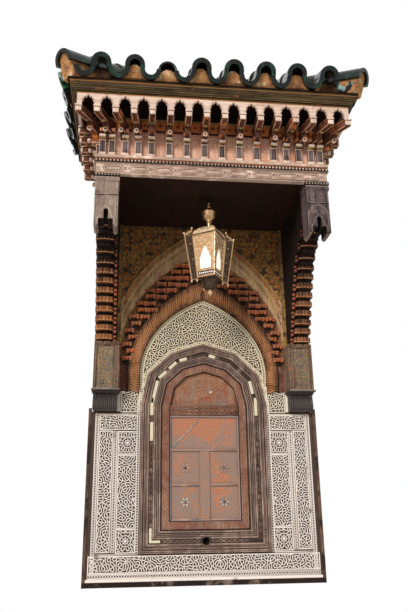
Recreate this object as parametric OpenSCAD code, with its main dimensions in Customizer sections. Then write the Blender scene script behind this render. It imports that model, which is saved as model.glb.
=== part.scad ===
// Canopied window bay: a shuttered window in carved plaster, under a bracketed
// cedar canopy with a glazed tile roof, and a brass lantern under its soffit.
// The wall is the plane y = 0, the front faces -Y and z = 0 is the foot of the plaster panel.

/* [Overall] */
// Width over the posts, side brackets and architrave
bay_w = 1744; // [1450:1:2100]
// Distance from the wall to the front of the posts
canopy_d = 885; // [735:1:1070]

/* [Window opening] */
// Width of the opening inside the inner frame
opening_w = 548; // [455:1:660]
// Height of the shutter
shutter_h = 789; // [655:1:950]
// Height of the rail over the shutter
transom_h = 80; // [60:1:100]
// Face width of the moulded outer frame
outer_frame_w = 162; // [130:1:190]
// Face width of the carved inner frame
inner_frame_w = 60; // [45:1:75]
// Rise of the faceted frame head above its springing
head_rise = 494; // [430:1:540]
// Thickness of the outer frame out from the wall
frame_t = 62; // [50:1:75]
// Radius of the round slot in the sill member
slot_r = 28; // [18:1:34]

/* [Shutter] */
// Width of the border of the shutter
shutter_border = 14; // [10:1:24]
// Width of the strip between the left and right panels
shutter_strip_w = 73; // [50:1:90]
// Height of each rail between the panels
shutter_rail_h = 18; // [12:1:30]
// Height of the top panel as drawn between rails
top_panel_h = 240; // [180:1:280]

/* [Plaster surround] */
// Height of the carved band under the window frame, with its edge board
base_band_h = 222; // [190:1:260]
// Thickness of the plaster
plaster_t = 30; // [22:1:40]
// Plaster left between the frame and the springing of the arch
arch_margin = 11; // [8:1:20]
// Rise of the plaster arch
plaster_rise = 740; // [690:1:890]
// Extra fullness of the arch haunches
arch_fullness = 30; // [10:1:36]
// Width of the wooden edge strip
strip_w = 23; // [16:1:32]
// Height of the edge board at the foot
foot_board_h = 35; // [25:1:45]

/* [Arch bands over the plaster] */
// Rise of the ribbed band, at the crown
ribbed_band = 160; // [130:1:190]
// Rise of the stalactite band, at the crown
stalactite_band = 250; // [210:1:300]
// Rise of the plain painted band, at the crown
plain_band = 140; // [115:1:170]
// Rise of the rope moulding, at the crown
rope_band = 90; // [75:1:110]
// Board left between the crown and the soffit
crown_margin = 30; // [20:1:60]
// Number of stalactite courses on each side
course_count = 14; // [10:1:16]

/* [Side supports] */
// Width of the posts and of the stepped brackets
post_w = 170; // [140:1:205]
// Depth of the posts
post_t = 150; // [125:1:180]
// Drop of the posts below the soffit
post_drop = 415; // [345:1:500]
// Width of the pilaster panels
pilaster_w = 200; // [185:1:215]
// Thickness of the pilaster panels
pilaster_t = 150; // [125:1:180]
// Height of the pilaster panels
pilaster_h = 367; // [300:1:440]
// Height of the ribbed corbels with their top plate
corbel_h = 158; // [130:1:190]
// Number of tiers in a stepped bracket
tier_count = 16; // [12:1:18]

/* [Entablature] */
// Thickness of the architrave boards
architrave_t = 40; // [30:1:50]
// Height of the architrave with its mouldings
architrave_h = 152; // [125:1:182]
// Height of the frieze of small columns and panels
frieze_h = 433; // [400:1:470]
// How far the arcade stands in front of the posts
front_reach = 205; // [170:1:246]
// How far the arcade stands outside the bay on each side
side_reach = 143; // [119:1:171]
// Number of beam ends across the front
beam_count = 16; // [14:1:17]
// Number of beam ends along each side
side_beam_count = 6; // [4:1:6]
// Width of a beam
beam_w = 42; // [34:1:50]
// Height of the arcade board
arcade_h = 105; // [95:1:125]
// Height of the cornice
cornice_h = 80; // [66:1:96]
// Projection of the cornice beyond the arcade
cornice_reach = 55; // [45:1:66]

/* [Roof] */
// Slope of the roof in degrees
roof_slope = 28; // [22:1:32]
// Overhang of the tiles beyond the cornice
tile_reach = 20; // [5:1:60]
// Number of cover tiles between the hips on the front
cover_count = 8; // [6:1:9]
// Height of the tile waves
tile_wave_h = 172; // [140:1:210]
// Thickness of a tile
tile_t = 14; // [10:1:18]
// Radius of the tiles along the hips
hip_r = 74; // [60:1:90]

/* [Lantern] */
// Distance from the wall to the axis of the lantern
lantern_y = 550; // [480:1:620]
// Height of the glazed body
lantern_h = 342; // [290:1:410]
// Radius of the body at the top, over the corners
lantern_top_r = 127; // [105:1:152]
// Radius of the body at the foot, over the corners
lantern_foot_r = 95; // [80:1:112]
// Radius of the ball on the rod
ball_r = 57; // [45:1:66]
// Turn of the body about its axis, in degrees
lantern_turn = 13; // [0:1:89]

/* [Hidden] */
$fn = 48;

// Heights of the window, from the foot up
frame_z = base_band_h;
shutter_z = frame_z + outer_frame_w + inner_frame_w;
transom_z = shutter_z + shutter_h;
lunette_z = transom_z + transom_h;
frame_spring_z = lunette_z + 9;
panel_z = frame_spring_z - 57;
plaster_spring_z = frame_spring_z + 138;

// Half widths of the window and of the bay
opening_half = opening_w / 2;
frame_half = opening_half + inner_frame_w + outer_frame_w;
bay_half = bay_w / 2;
panel_half = bay_half + 5;
post_in = bay_half - post_w;
pilaster_in = bay_half - pilaster_w;

// Thicknesses out from the wall
inner_frame_t = frame_t - 12;
transom_t = frame_t - 16;
shutter_t = frame_t - 24;
panel_t = frame_t - 34;
board_t = 20;

// Arch bands, each as half width at the springing, springing height and rise
band_lift = 140;
band_spring_z = plaster_spring_z + band_lift;
plaster_arch = [frame_half + arch_margin, plaster_spring_z, plaster_rise];
ribbed_arch_line = [pilaster_in - 72, plaster_spring_z, plaster_rise + ribbed_band];
stalactite_line = [pilaster_in - 1, band_spring_z, ribbed_arch_line[2] + stalactite_band - band_lift];
plain_line = [pilaster_in + 48, band_spring_z, stalactite_line[2] + plain_band];
rope_line = [pilaster_in + 98, band_spring_z, plain_line[2] + rope_band];
arch_steps = 24;

// Heights of the supports and of the canopy
corbel_z = panel_z;
pilaster_z = corbel_z + corbel_h;
tier_z = pilaster_z + pilaster_h;
soffit_z = band_spring_z + rope_line[2] + crown_margin;
post_z = soffit_z - post_drop;
tier_h = (soffit_z - tier_z) / tier_count;
frieze_z = soffit_z + architrave_h;
arcade_z = frieze_z + frieze_h - arcade_h - 45;
cornice_z = arcade_z + arcade_h;
roof_z = cornice_z + cornice_h;
deck_board_t = roof_z - frieze_z - frieze_h;

// Plan lines of the canopy
architrave_in = bay_half - architrave_t;
frieze_half = bay_half - 25;
frieze_d = canopy_d - 25;
frieze_t = 25;
arcade_half = bay_half + side_reach;
arcade_d = canopy_d + front_reach;
arcade_t = 20;
eave_half = arcade_half + cornice_reach + tile_reach;
eave_d = arcade_d + cornice_reach + tile_reach;

// Outline of a pointed arch: half width at a height above its springing
function arch_radius(w, rise) = (w * w + rise * rise) / (2 * w);
function arch_half(z, w, rise, full) =
    max(0, w - arch_radius(w, rise) + sqrt(max(0, pow(arch_radius(w, rise), 2) - z * z)) + full * sin(180 * z / rise));
function arch_side(line, full) =
    [for (i = [0 : arch_steps]) [arch_half(line[2] * i / arch_steps, line[0], line[2], full), line[1] + line[2] * i / arch_steps]];
function mirrored(points) = [for (i = [len(points) - 2 : -1 : 0]) [-points[i][0], points[i][1]]];

// A flat shape drawn in x and z, from one distance off the wall to another
module facade(front, back = 0) {
    translate([0, -back, 0])
        rotate([90, 0, 0])
            linear_extrude(front - back)
                children();
}

// A flat shape drawn in y and z, from one x to another
module section(x0, x1) {
    translate([x0, 0, 0])
        rotate([90, 0, 90])
            linear_extrude(x1 - x0)
                children();
}

// A block given by its lowest and highest corners
module block(low, high) {
    translate(low)
        cube(high - low);
}

// The same piece on the left or on the right
module on_side(side) {
    if (side < 0)
        mirror([1, 0, 0])
            children();
    else
        children();
}

module arch_shape(line, foot_z, full = arch_fullness) {
    side = arch_side(line, full);
    polygon(concat([[line[0], foot_z]], side, mirrored(side), [[-line[0], foot_z]]));
}

// Corners of the faceted head, as shares of the half width and of the rise
head_corners = [[1, 0], [0.893, 0.492], [0.514, 0.85], [0, 1]];

// Outline of the window frame, with a six-sided head
module frame_outline(inset = 0) {
    right = [for (c = head_corners) [frame_half * c[0], frame_spring_z + head_rise * c[1]]];
    offset(delta = -inset)
        polygon(concat([[frame_half, frame_z]], right, mirrored(right), [[-frame_half, frame_z]]));
}

module frame_ring(outer, inner) {
    difference() {
        frame_outline(outer);
        frame_outline(inner);
    }
}

module rect(x0, z0, x1, z1) {
    translate([x0, z0])
        square([x1 - x0, z1 - z0]);
}

// Shoulder of the plaster beside the arch, under a hollow curve
shoulder_x = pilaster_in - 14;
shoulder_top_z = pilaster_z - 9;
shoulder_steps = 8;
module shoulder() {
    w = shoulder_x - plaster_arch[0];
    rise = plaster_spring_z + 16 - shoulder_top_z;
    curve = [for (i = [0 : shoulder_steps])
        [shoulder_x - w * i / shoulder_steps, shoulder_top_z + rise * pow(i / shoulder_steps, 1.7)]];
    polygon(concat([[plaster_arch[0] - 60, panel_z], [shoulder_x, panel_z]], curve,
        [[plaster_arch[0] - 60, shoulder_top_z + rise]]));
}

module plaster_outline() {
    rect(-panel_half, foot_board_h, panel_half, panel_z);
    arch_shape(plaster_arch, panel_z);
    shoulder();
    mirror([1, 0, 0])
        shoulder();
}

module plaster_surround() {
    color("#d9cfc0")
        facade(plaster_t)
            difference() {
                plaster_outline();
                frame_outline();
            }
}

strip_t = plaster_t + 6;
module edge_strips() {
    color("#6e5142")
        for (side = [0, 1])
            mirror([side, 0, 0])
                facade(strip_t)
                    rect(panel_half, foot_board_h, panel_half + strip_w, panel_z + 24);
}

module foot_board() {
    color("#3c2f28")
        facade(strip_t)
            rect(-panel_half - strip_w, 0, panel_half + strip_w, foot_board_h);
}

// Window, from the outer frame in
groove_in = 66;
groove_out = 100;
module moulded_ring() {
    facade(frame_t - 10)
        frame_ring(0, outer_frame_w);
    facade(frame_t, frame_t - 11)
        frame_ring(12, groove_in);
    facade(frame_t - 4, frame_t - 11)
        frame_ring(groove_out, outer_frame_w - 8);
}

module frame_part(low_z, high_z) {
    color("#6b5a50")
        intersection() {
            moulded_ring();
            block([-frame_half - 1, -frame_t - 1, low_z], [frame_half + 1, 1, high_z]);
        }
}

module frame_sill() {
    slot_z = frame_z + (groove_in + groove_out) / 2;
    difference() {
        frame_part(frame_z - 1, frame_z + outer_frame_w);
        translate([0, 1, slot_z])
            rotate([90, 0, 0])
                cylinder(r = slot_r, h = frame_t + 2);
    }
}

module frame_stiles() {
    frame_part(frame_z + outer_frame_w, frame_spring_z);
}

module frame_head() {
    frame_part(frame_spring_z, frame_spring_z + head_rise + 1);
}

module inner_frame() {
    color("#8a5e4c")
        facade(inner_frame_t)
            frame_ring(outer_frame_w, outer_frame_w + inner_frame_w);
}

module opening_part(low_z, high_z) {
    intersection() {
        frame_outline(outer_frame_w + inner_frame_w);
        rect(-frame_half, low_z, frame_half, high_z);
    }
}

module lunette_panel() {
    color("#8f7668")
        facade(panel_t)
            opening_part(lunette_z, frame_spring_z + head_rise);
}

module transom_rail() {
    color("#7a5c4c")
        facade(transom_t)
            opening_part(transom_z, lunette_z);
}

// Shutter panels: one wide panel over two rows of two
mid_row_h = (shutter_h - 2 * shutter_border - top_panel_h - 2 * shutter_rail_h) / 2;
lower_row_z = shutter_z + shutter_border;
upper_row_z = lower_row_z + mid_row_h + shutter_rail_h;
top_row_z = upper_row_z + mid_row_h + shutter_rail_h;
module shutter_panel_shapes() {
    right = opening_half - shutter_border;
    rect(-right, top_row_z, right, top_row_z + top_panel_h);
    for (side = [-1, 1], z = [lower_row_z, upper_row_z])
        scale([side, 1])
            rect(shutter_strip_w / 2, z, right, z + mid_row_h);
}

module shutter_frame() {
    color("#80695c")
        facade(shutter_t)
            difference() {
                rect(-opening_half, shutter_z, opening_half, transom_z);
                shutter_panel_shapes();
            }
}

module shutter_panels() {
    color("#93624a")
        facade(panel_t)
            shutter_panel_shapes();
}

// Painted boards and bands of the arch over the plaster
module band_field() {
    difference() {
        rect(-pilaster_in, pilaster_z, pilaster_in, soffit_z);
        plaster_outline();
    }
}

module band_between(outer, inner) {
    intersection() {
        band_field();
        difference() {
            arch_shape(outer, pilaster_z - 1);
            arch_shape(inner, pilaster_z - 2);
        }
    }
}

module spandrel_board() {
    color("#4b4626")
        facade(board_t)
            difference() {
                band_field();
                arch_shape(rope_line, pilaster_z - 1);
            }
}

rope_t = board_t + 26;
plain_t = board_t + 12;
module arch_mouldings() {
    color("#6a5a48") {
        facade(plain_t)
            band_between(plain_line, stalactite_line);
        facade(rope_t)
            band_between(rope_line, plain_line);
    }
}

// Three staggered files of hanging cells, course over course
cell_w = 50;
cell_t = board_t + 52;
module stalactite_cells() {
    low_z = band_spring_z + 20;
    pitch = (stalactite_line[1] + stalactite_line[2] - 130 - low_z) / course_count;
    for (k = [0 : course_count - 1]) {
        z = low_z + k * pitch;
        outer_x = arch_half(z + pitch - stalactite_line[1], stalactite_line[0], stalactite_line[2], arch_fullness);
        shift = (k % 2) * cell_w / 2;
        for (j = [0 : 1])
            rect(outer_x - 14 - shift - j * (cell_w + 8) - cell_w, z, outer_x - 14 - shift - j * (cell_w + 8), z + pitch * 0.68);
    }
}

module stalactite_arch() {
    color("#a0522d") {
        facade(board_t + 6)
            band_between(stalactite_line, ribbed_arch_line);
        facade(cell_t, board_t + 5)
            intersection() {
                band_between(stalactite_line, ribbed_arch_line);
                for (side = [0, 1])
                    mirror([side, 0])
                        stalactite_cells();
            }
    }
}

module ribbed_arch() {
    color("#9c5a38")
        facade(plaster_t + 22)
            band_between(ribbed_arch_line, plaster_arch);
}

// Corbel of vertical ribs with a spreading top plate
module corbel(side) {
    x0 = pilaster_in + 10;
    x1 = bay_half - 10;
    depth = 90;
    plate_z = corbel_z + corbel_h - 28;
    ribs = 8;
    color("#2b2522")
        on_side(side) {
            block([x0, -depth + 12, corbel_z], [x1, 0, plate_z]);
            for (i = [0 : ribs - 1])
                translate([x0 + (x1 - x0) * (i + 0.5) / ribs, -depth + 12, corbel_z])
                    cylinder(r = (x1 - x0) / ribs * 0.46, h = plate_z - corbel_z);
            block([x0 - 10, -pilaster_t + 20, plate_z], [x1 + 10, 0, plate_z + 14]);
            block([x0 - 20, -pilaster_t - 15, plate_z + 14], [x1 + 20, 0, corbel_z + corbel_h]);
        }
}

module pilaster(side) {
    edge = 24;
    color("#57504a")
        on_side(side)
            difference() {
                block([pilaster_in, -pilaster_t, pilaster_z], [bay_half, 0, tier_z]);
                block([pilaster_in + 48, -pilaster_t - 1, pilaster_z + edge],
                    [bay_half - edge, -pilaster_t + 8, tier_z - edge]);
            }
}

// Stepped bracket: its front leaves the wall slowly, then sweeps out to the post
post_back = canopy_d - post_t;
function tier_front(z) =
    let (u = (z - tier_z) / (soffit_z - tier_z))
    min(post_back, pilaster_t - 12 + (post_back - pilaster_t) * (0.76 * u + 0.16 * u * u + 1.9 * pow(max(0, u - 0.6), 1.1)));

module tier_shape(x0, x1, front) {
    bulge_r = (x1 - x0) * 1.1;
    intersection() {
        translate([x0, -front])
            square([x1 - x0, front]);
        union() {
            translate([(x0 + x1) / 2, -front + bulge_r])
                circle(bulge_r);
            translate([x0, -front + bulge_r * 0.5])
                square([x1 - x0, front]);
        }
    }
}

module stepped_bracket(side) {
    tooth_w = 27;
    lip = tier_h * 0.24;
    color("#7d4a2e")
        on_side(side) {
            block([pilaster_in, -40, tier_z], [bay_half, 0, soffit_z]);
            for (k = [0 : tier_count - 1]) {
                z = tier_z + k * tier_h;
                front = tier_front(z + tier_h);
                translate([0, 0, z + (k == 0 ? 0 : lip)])
                    linear_extrude(tier_h - (k == 0 ? 0 : lip))
                        tier_shape(post_in + tooth_w, bay_half, front);
                block([post_in + tooth_w, -front + 22, z], [bay_half, 0, z + tier_h]);
                block([post_in, -front + 30, z], [post_in + tooth_w, 0, z + tier_h]);
                block([post_in, -front + 8, z + tier_h * 0.3], [post_in + tooth_w, -front + 31, z + tier_h * 0.85]);
            }
        }
}

// Hanging post with a cusped keyhole cut in its foot
module keyhole() {
    centre = bay_half - post_w / 2;
    wide = post_w - 64;
    rect(centre - wide / 2, post_z - 1, centre + wide / 2, post_z + 50);
    rect(centre - 17, post_z - 1, centre + 17, post_z + 112);
    translate([centre, post_z + 112])
        circle(17);
}

module hanging_post(side) {
    cap_h = 62;
    color("#9b8577")
        on_side(side) {
            difference() {
                block([post_in, -canopy_d, post_z], [bay_half, -post_back, soffit_z - cap_h]);
                facade(canopy_d + 1, post_back - 1)
                    keyhole();
            }
            block([post_in - 6, -canopy_d - 8, soffit_z - cap_h], [bay_half + 8, -post_back, soffit_z - 36]);
            block([post_in, -canopy_d, soffit_z - 36], [bay_half, -post_back, soffit_z - 20]);
            block([post_in - 6, -canopy_d - 8, soffit_z - 20], [bay_half + 10, -post_back, soffit_z]);
        }
}

module soffit_boards() {
    color("#2a1d16")
        block([-architrave_in, -canopy_d + architrave_t, soffit_z], [architrave_in, -board_t + 2, soffit_z + 25]);
}

// Layers of a moulding: height where it starts, where it ends, and how far it stands out
architrave_layers = [[0, 0.6, 0], [0.6, 0.77, 10], [0.77, 0.85, 0], [0.85, 1, 14]];

module architrave_front() {
    color("#a8968a")
        for (layer = architrave_layers)
            block([-bay_half - layer[2], -canopy_d - layer[2], soffit_z + architrave_h * layer[0]],
                [bay_half + layer[2], -canopy_d + architrave_t, soffit_z + architrave_h * layer[1]]);
}

module architrave_side(side) {
    color("#a8968a")
        on_side(side)
            for (layer = architrave_layers)
                block([architrave_in, -canopy_d + architrave_t, soffit_z + architrave_h * layer[0]],
                    [bay_half + layer[2], 0, soffit_z + architrave_h * layer[1]]);
}

// Places of the beam ends across the front, and of their roots on the frieze
beam_pitch = (2 * arcade_half - beam_w + 24) / (beam_count - 1) * 0.9955;
straight_reach = beam_pitch * 3.5;
root_end = frieze_half + 11;
tip_end = beam_pitch * (beam_count - 1) / 2;
function tip_x(i) = (i - (beam_count - 1) / 2) * beam_pitch;
function root_x(i) =
    let (a = abs(tip_x(i)))
    sign(tip_x(i)) * (a <= straight_reach + 1 ? a
        : straight_reach + (a - straight_reach) * (root_end - straight_reach) / (tip_end - straight_reach));
side_pitch = (frieze_d - 60) / (side_beam_count - 0.05);
function side_y(j) = -(frieze_d - 60) + j * side_pitch;

// A small column with its base and cap, at the foot of the frieze
column_r = 11;
module small_column() {
    base_h = 18;
    shaft_h = 62;
    cap_h = 28;
    translate([0, 0, base_h - 0.01])
        cylinder(r = column_r, h = shaft_h + 0.02);
    translate([-17, -15, 0])
        cube([34, 30, base_h]);
    translate([-17, -15, base_h + shaft_h])
        cube([34, 30, cap_h]);
}

module frieze_front() {
    color("#b08272") {
        block([-frieze_half, -frieze_d, frieze_z], [frieze_half, -frieze_d + frieze_t, frieze_z + frieze_h]);
        for (i = [0 : beam_count - 1])
            translate([max(-frieze_half + 17, min(frieze_half - 17, root_x(i))), -frieze_d - 14, frieze_z])
                small_column();
    }
}

module frieze_side(side) {
    color("#b08272")
        on_side(side) {
            block([frieze_half - frieze_t, -frieze_d + frieze_t, frieze_z], [frieze_half, 0, frieze_z + frieze_h]);
            for (j = [0 : side_beam_count - 1])
                translate([frieze_half + 14, side_y(j), frieze_z])
                    rotate([0, 0, 90])
                        small_column();
        }
}

// Steps of a beam end: start, end and reach, as heights below the arcade and a share of the full reach
beam_steps = [[155, 117, 0.24, 0], [117, 60, 0.47, 0], [60, 15, 1, 0], [15, 0, 1.02, 5]];

module beam(root, tip, reach) {
    for (s = beam_steps) {
        w = beam_w / 2 + s[3];
        x = root + (tip - root) * s[2];
        translate([0, 0, arcade_z - s[0]])
            linear_extrude(s[0] - s[1])
                polygon([[root - w, 0], [root + w, 0], [x + w, -reach * s[2]], [x - w, -reach * s[2]]]);
    }
}

module beams_front() {
    color("#a87464")
        for (i = [0 : beam_count - 1])
            translate([0, -frieze_d, 0])
                beam(root_x(i), tip_x(i), arcade_d + 5 - frieze_d);
}

module beams_side(side) {
    color("#a87464")
        on_side(side)
            for (j = [0 : side_beam_count - 1])
                translate([frieze_half, 0, 0])
                    rotate([0, 0, 90])
                        beam(side_y(j), side_y(j), arcade_half - 3 - frieze_half);
}

// Arched openings between the beams
arch_gap_w = 87;
module arcade_opening(x) {
    r = min(arch_gap_w, beam_pitch - beam_w) / 2;
    rect(x - r, arcade_z - 1, x + r, arcade_z + 38);
    translate([x, arcade_z + 38])
        circle(r);
    translate([x, arcade_z + 38 + r])
        rotate(45)
            square(12, center = true);
}

module arcade_front() {
    color("#b59488")
        facade(arcade_d, arcade_d - arcade_t)
            difference() {
                rect(-arcade_half, arcade_z, arcade_half, cornice_z);
                for (i = [0 : beam_count - 2])
                    arcade_opening(tip_x(i + 0.5));
            }
}

module arcade_side(side) {
    color("#b59488")
        on_side(side)
            section(arcade_half - arcade_t, arcade_half)
                difference() {
                    rect(-arcade_d + arcade_t, arcade_z, 0, cornice_z);
                    for (j = [0 : side_beam_count - 1])
                        arcade_opening(side_y(j + 0.5));
                }
}

// Cornice round the three sides, in four layers
cornice_layers = [[0, 0.22, 0.15], [0.22, 0.5, 0.55], [0.5, 0.85, 0.85], [0.85, 1, 1]];
module cornice() {
    color("#2f3a2a")
        for (layer = cornice_layers)
            difference() {
                block([-arcade_half - cornice_reach * layer[2], -arcade_d - cornice_reach * layer[2],
                        cornice_z + cornice_h * layer[0]],
                    [arcade_half + cornice_reach * layer[2], 0, cornice_z + cornice_h * layer[1]]);
                block([-arcade_half + arcade_t, -arcade_d + arcade_t, cornice_z - 1],
                    [arcade_half - arcade_t, 1, cornice_z + cornice_h + 1]);
            }
}

// Solid under the three slopes that rise from the eaves, with its foot at floor_z
module hipped_solid(floor_z, half, depth) {
    rise = eave_half * tan(roof_slope);
    deep = 2000;
    intersection() {
        block([-half, -depth, floor_z], [half, 0, roof_z + rise + 10]);
        section(-half - 1, half + 1)
            polygon([[-eave_d, roof_z], [0, roof_z + eave_d * tan(roof_slope)], [0, roof_z - deep], [-eave_d, roof_z - deep]]);
        facade(depth + 1)
            polygon([[-eave_half, roof_z], [0, roof_z + rise], [eave_half, roof_z],
                [eave_half, roof_z - deep], [-eave_half, roof_z - deep]]);
    }
}

module roof_deck() {
    color("#a67b45") {
        block([-arcade_half + arcade_t, -arcade_d + arcade_t, roof_z - deck_board_t],
            [arcade_half - arcade_t, 0, roof_z + 1]);
        hipped_solid(roof_z, eave_half - 6, eave_d - 9);
    }
}

// Wavy sheet of cover and channel tiles, drawn across the slope, its channels bedded flat on the deck
tile_pitch = 2 * eave_half / (cover_count + 1.05);
cover_r = tile_pitch * 0.274;
channel_r = tile_pitch / 2 - cover_r;
bed_depth = 4;
wave_leg = tile_wave_h + bed_depth - tile_t - cover_r - channel_r;
arc_steps = 8;
function arc_points(x, h, r, from, to) =
    [for (i = [0 : arc_steps]) let (a = from + (to - from) * i / arc_steps) [x + r * cos(a), h + r * sin(a)]];
function wave_cover(x, side) =
    arc_points(x, tile_t / 2 + channel_r + wave_leg, cover_r + side * tile_t / 2, 180, 0);
function wave_channel(x, side) = arc_points(x, tile_t / 2 + channel_r, channel_r - side * tile_t / 2, 180, 360);
function wave_line(count, x0, side) =
    [for (k = [0 : 2 * count])
        for (p = (k % 2 == 0 ? wave_channel(x0 + k * tile_pitch / 2, side) : wave_cover(x0 + k * tile_pitch / 2, side)))
            [p[0], p[1] - bed_depth]];
function reversed(points) = [for (i = [len(points) - 1 : -1 : 0]) points[i]];

// Stands a profile drawn in x and height on a slope, from one distance up the slope to another
module on_slope(from, to) {
    rotate([90 + roof_slope, 0, 0])
        mirror([0, 0, 1])
            translate([0, 0, from])
                linear_extrude(to - from)
                    children();
}

module above_deck() {
    intersection() {
        children();
        rect(-3 * eave_half, 0, 3 * eave_half, tile_wave_h * 2);
    }
}

module tile_sheet(count, x0) {
    on_slope(0, eave_half * 1.4)
        above_deck()
            polygon(concat(wave_line(count, x0, 1), reversed(wave_line(count, x0, -1))));
}

// Mortar under the cover tiles, just behind their front ends
bedding_back = 14;
bedding_l = 70;
module tile_wedges(count, x0) {
    x1 = x0 + count * tile_pitch;
    on_slope(bedding_back, bedding_back + bedding_l)
        above_deck()
            polygon(concat([[x0 - channel_r, -20]], wave_line(count, x0, -1), [[x1 + channel_r, -20]]));
}

// Plan fields of the slopes, kept clear of the hips
hip_clear = (hip_r + 6) * sqrt(2);
field_reach = 200;
module slope_field() {
    linear_extrude(roof_z * 3)
        intersection() {
            children();
            rect(-eave_half - field_reach, -eave_d - field_reach, eave_half + field_reach, 0);
        }
}

module front_field() {
    slope_field()
        polygon([[-eave_half + hip_clear, -eave_d - field_reach], [eave_half - hip_clear, -eave_d - field_reach],
            [eave_half - hip_clear, -eave_d], [0, eave_half - eave_d - hip_clear], [-eave_half + hip_clear, -eave_d]]);
}

module side_field() {
    slope_field()
        polygon([[eave_half, hip_clear - eave_d], [eave_half + field_reach, hip_clear - eave_d],
            [eave_half + field_reach, eave_half], [hip_clear, eave_half], [hip_clear, eave_half - eave_d]]);
}

module front_slope() {
    intersection() {
        front_field();
        translate([0, -eave_d, roof_z])
            children();
    }
}

// First cover tile on each side, measured from the corner
side_first = 200;
side_covers = floor((eave_d - side_first - cover_r - tile_t) / tile_pitch) + 1;
side_x0 = -eave_d + side_first - tile_pitch / 2;
module side_slope(side) {
    on_side(side)
        intersection() {
            side_field();
            translate([eave_half, 0, roof_z])
                rotate([0, 0, 90])
                    children();
        }
}

module roof_tiles_front() {
    color("#1f3b2c")
        front_slope()
            tile_sheet(cover_count, -tile_pitch * cover_count / 2);
}

module roof_tiles_side(side) {
    color("#1f3b2c")
        side_slope(side)
            tile_sheet(side_covers, side_x0);
}

module tile_bedding() {
    color("#b08a6c") {
        front_slope()
            tile_wedges(cover_count, -tile_pitch * cover_count / 2);
        for (side = [-1, 1])
            side_slope(side)
                tile_wedges(side_covers, side_x0);
    }
}

// Runs a profile up the right-hand hip, from one distance to another
hip_angle = atan(tan(roof_slope) / sqrt(2));
hip_l = eave_half * sqrt(2) / cos(hip_angle) + hip_r;
module on_hips(from) {
    for (side = [-1, 1])
        on_side(side)
            intersection() {
                translate([eave_half, -eave_d, roof_z])
                    rotate([0, 0, 45])
                        rotate([90 + hip_angle, 0, 0])
                            mirror([0, 0, 1])
                                translate([0, 0, from])
                                    linear_extrude(hip_l)
                                        children();
                block([0, -eave_d * 2, 0], [eave_half * 2, 0, roof_z * 2]);
            }
}

hip_h = 112;
hip_leg = 30;
module hip_core() {
    core_r = hip_r - tile_t;
    translate([0, hip_h])
        circle(core_r);
    rect(-core_r, -60, core_r, hip_h);
}

module hip_bedding() {
    color("#b08a6c")
        difference() {
            on_hips(20)
                hip_core();
            hipped_solid(roof_z, eave_half + 1, eave_d + 1);
            block([-eave_half * 2, -eave_d * 2, 0], [eave_half * 2, 1, roof_z]);
        }
}

module hip_tiles() {
    color("#2c5a41")
        on_hips(0)
            difference() {
                union() {
                    translate([0, hip_h])
                        circle(hip_r);
                    rect(-hip_r, hip_h - hip_leg, hip_r, hip_h);
                }
                hip_core();
                rect(-hip_r - 1, 0, hip_r + 1, hip_h - hip_leg);
            }
}

module back_boards() {
    color("#5b4636")
        block([-frieze_half + frieze_t, -board_t + 2, soffit_z], [frieze_half - frieze_t, 0, frieze_z + frieze_h]);
}

// Lantern: the eye of its rod hangs on a pin between two ears, and swings about it
eye_r = 13;
eye_w = 10;
pin_r = 4;
pin_gap = 0.3;
ear_gap = 5;
ear_t = 6;
ear_r = 9;
rose_r = 45;
rose_h = 12;
rod_r = 5;
hinge_z = soffit_z - 41;
ball_z = soffit_z - 134;
cap_z = soffit_z - 325;
cap_h = 84;
rim_h = 10;
cage_z = cap_z - rim_h - lantern_h;
sides = 4;

module ceiling_hook() {
    inner = eye_w / 2 + ear_gap;
    color("#2e2822")
        translate([0, -lantern_y, 0]) {
            translate([0, 0, soffit_z - rose_h])
                cylinder(r = rose_r, h = rose_h);
            for (x = [-inner - ear_t, inner])
                section(x, x + ear_t) {
                    rect(-ear_r, hinge_z, ear_r, soffit_z - rose_h + 1);
                    translate([0, hinge_z])
                        circle(ear_r);
                }
            translate([-inner - ear_t - 3, 0, hinge_z])
                rotate([0, 90, 0])
                    cylinder(r = pin_r, h = 2 * (inner + ear_t + 3));
        }
}

module lantern_rod() {
    color("#8a6a3c")
        translate([0, -lantern_y, 0]) {
            difference() {
                union() {
                    translate([-eye_w / 2, 0, hinge_z])
                        rotate([0, 90, 0])
                            cylinder(r = eye_r, h = eye_w);
                    translate([0, 0, ball_z])
                        cylinder(r = rod_r, h = hinge_z - ball_z);
                }
                translate([-eye_w, 0, hinge_z])
                    rotate([0, 90, 0])
                        cylinder(r = pin_r + pin_gap, h = 2 * eye_w);
            }
            translate([0, 0, ball_z])
                sphere(ball_r);
            translate([0, 0, cap_z + cap_h])
                cylinder(r = 16, h = ball_z - cap_z - cap_h);
            translate([0, 0, ball_z - ball_r - 10])
                cylinder(r = 24, h = 8);
        }
}

// One sloping tier of the four-sided cap, its radius over the corners
module cap_tier(low, high, foot, head) {
    translate([0, 0, cap_z + low])
        cylinder(r1 = foot, r2 = head, h = high - low, $fn = sides);
}

module lantern_cap() {
    shoulder_r = lantern_top_r * 0.94;
    crown_r = lantern_top_r * 0.62;
    shoulder_z = cap_h * 0.35;
    crown_z = cap_h * 0.72;
    color("#a98354")
        translate([0, -lantern_y, 0])
            rotate([0, 0, lantern_turn - 90]) {
                cap_tier(-rim_h, 0, lantern_top_r + 8, lantern_top_r + 8);
                cap_tier(0, shoulder_z, lantern_top_r + 4, shoulder_r);
                cap_tier(shoulder_z, crown_z, shoulder_r, crown_r);
                cap_tier(crown_z, cap_h, crown_r, 20);
            }
}

module tapered_body(inset, low, high) {
    slope = (lantern_top_r - lantern_foot_r) / lantern_h;
    translate([0, 0, cage_z + low])
        rotate([0, 0, lantern_turn - 90])
            cylinder(r1 = lantern_foot_r + slope * low - inset, r2 = lantern_foot_r + slope * high - inset,
                h = high - low, $fn = sides);
}

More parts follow.
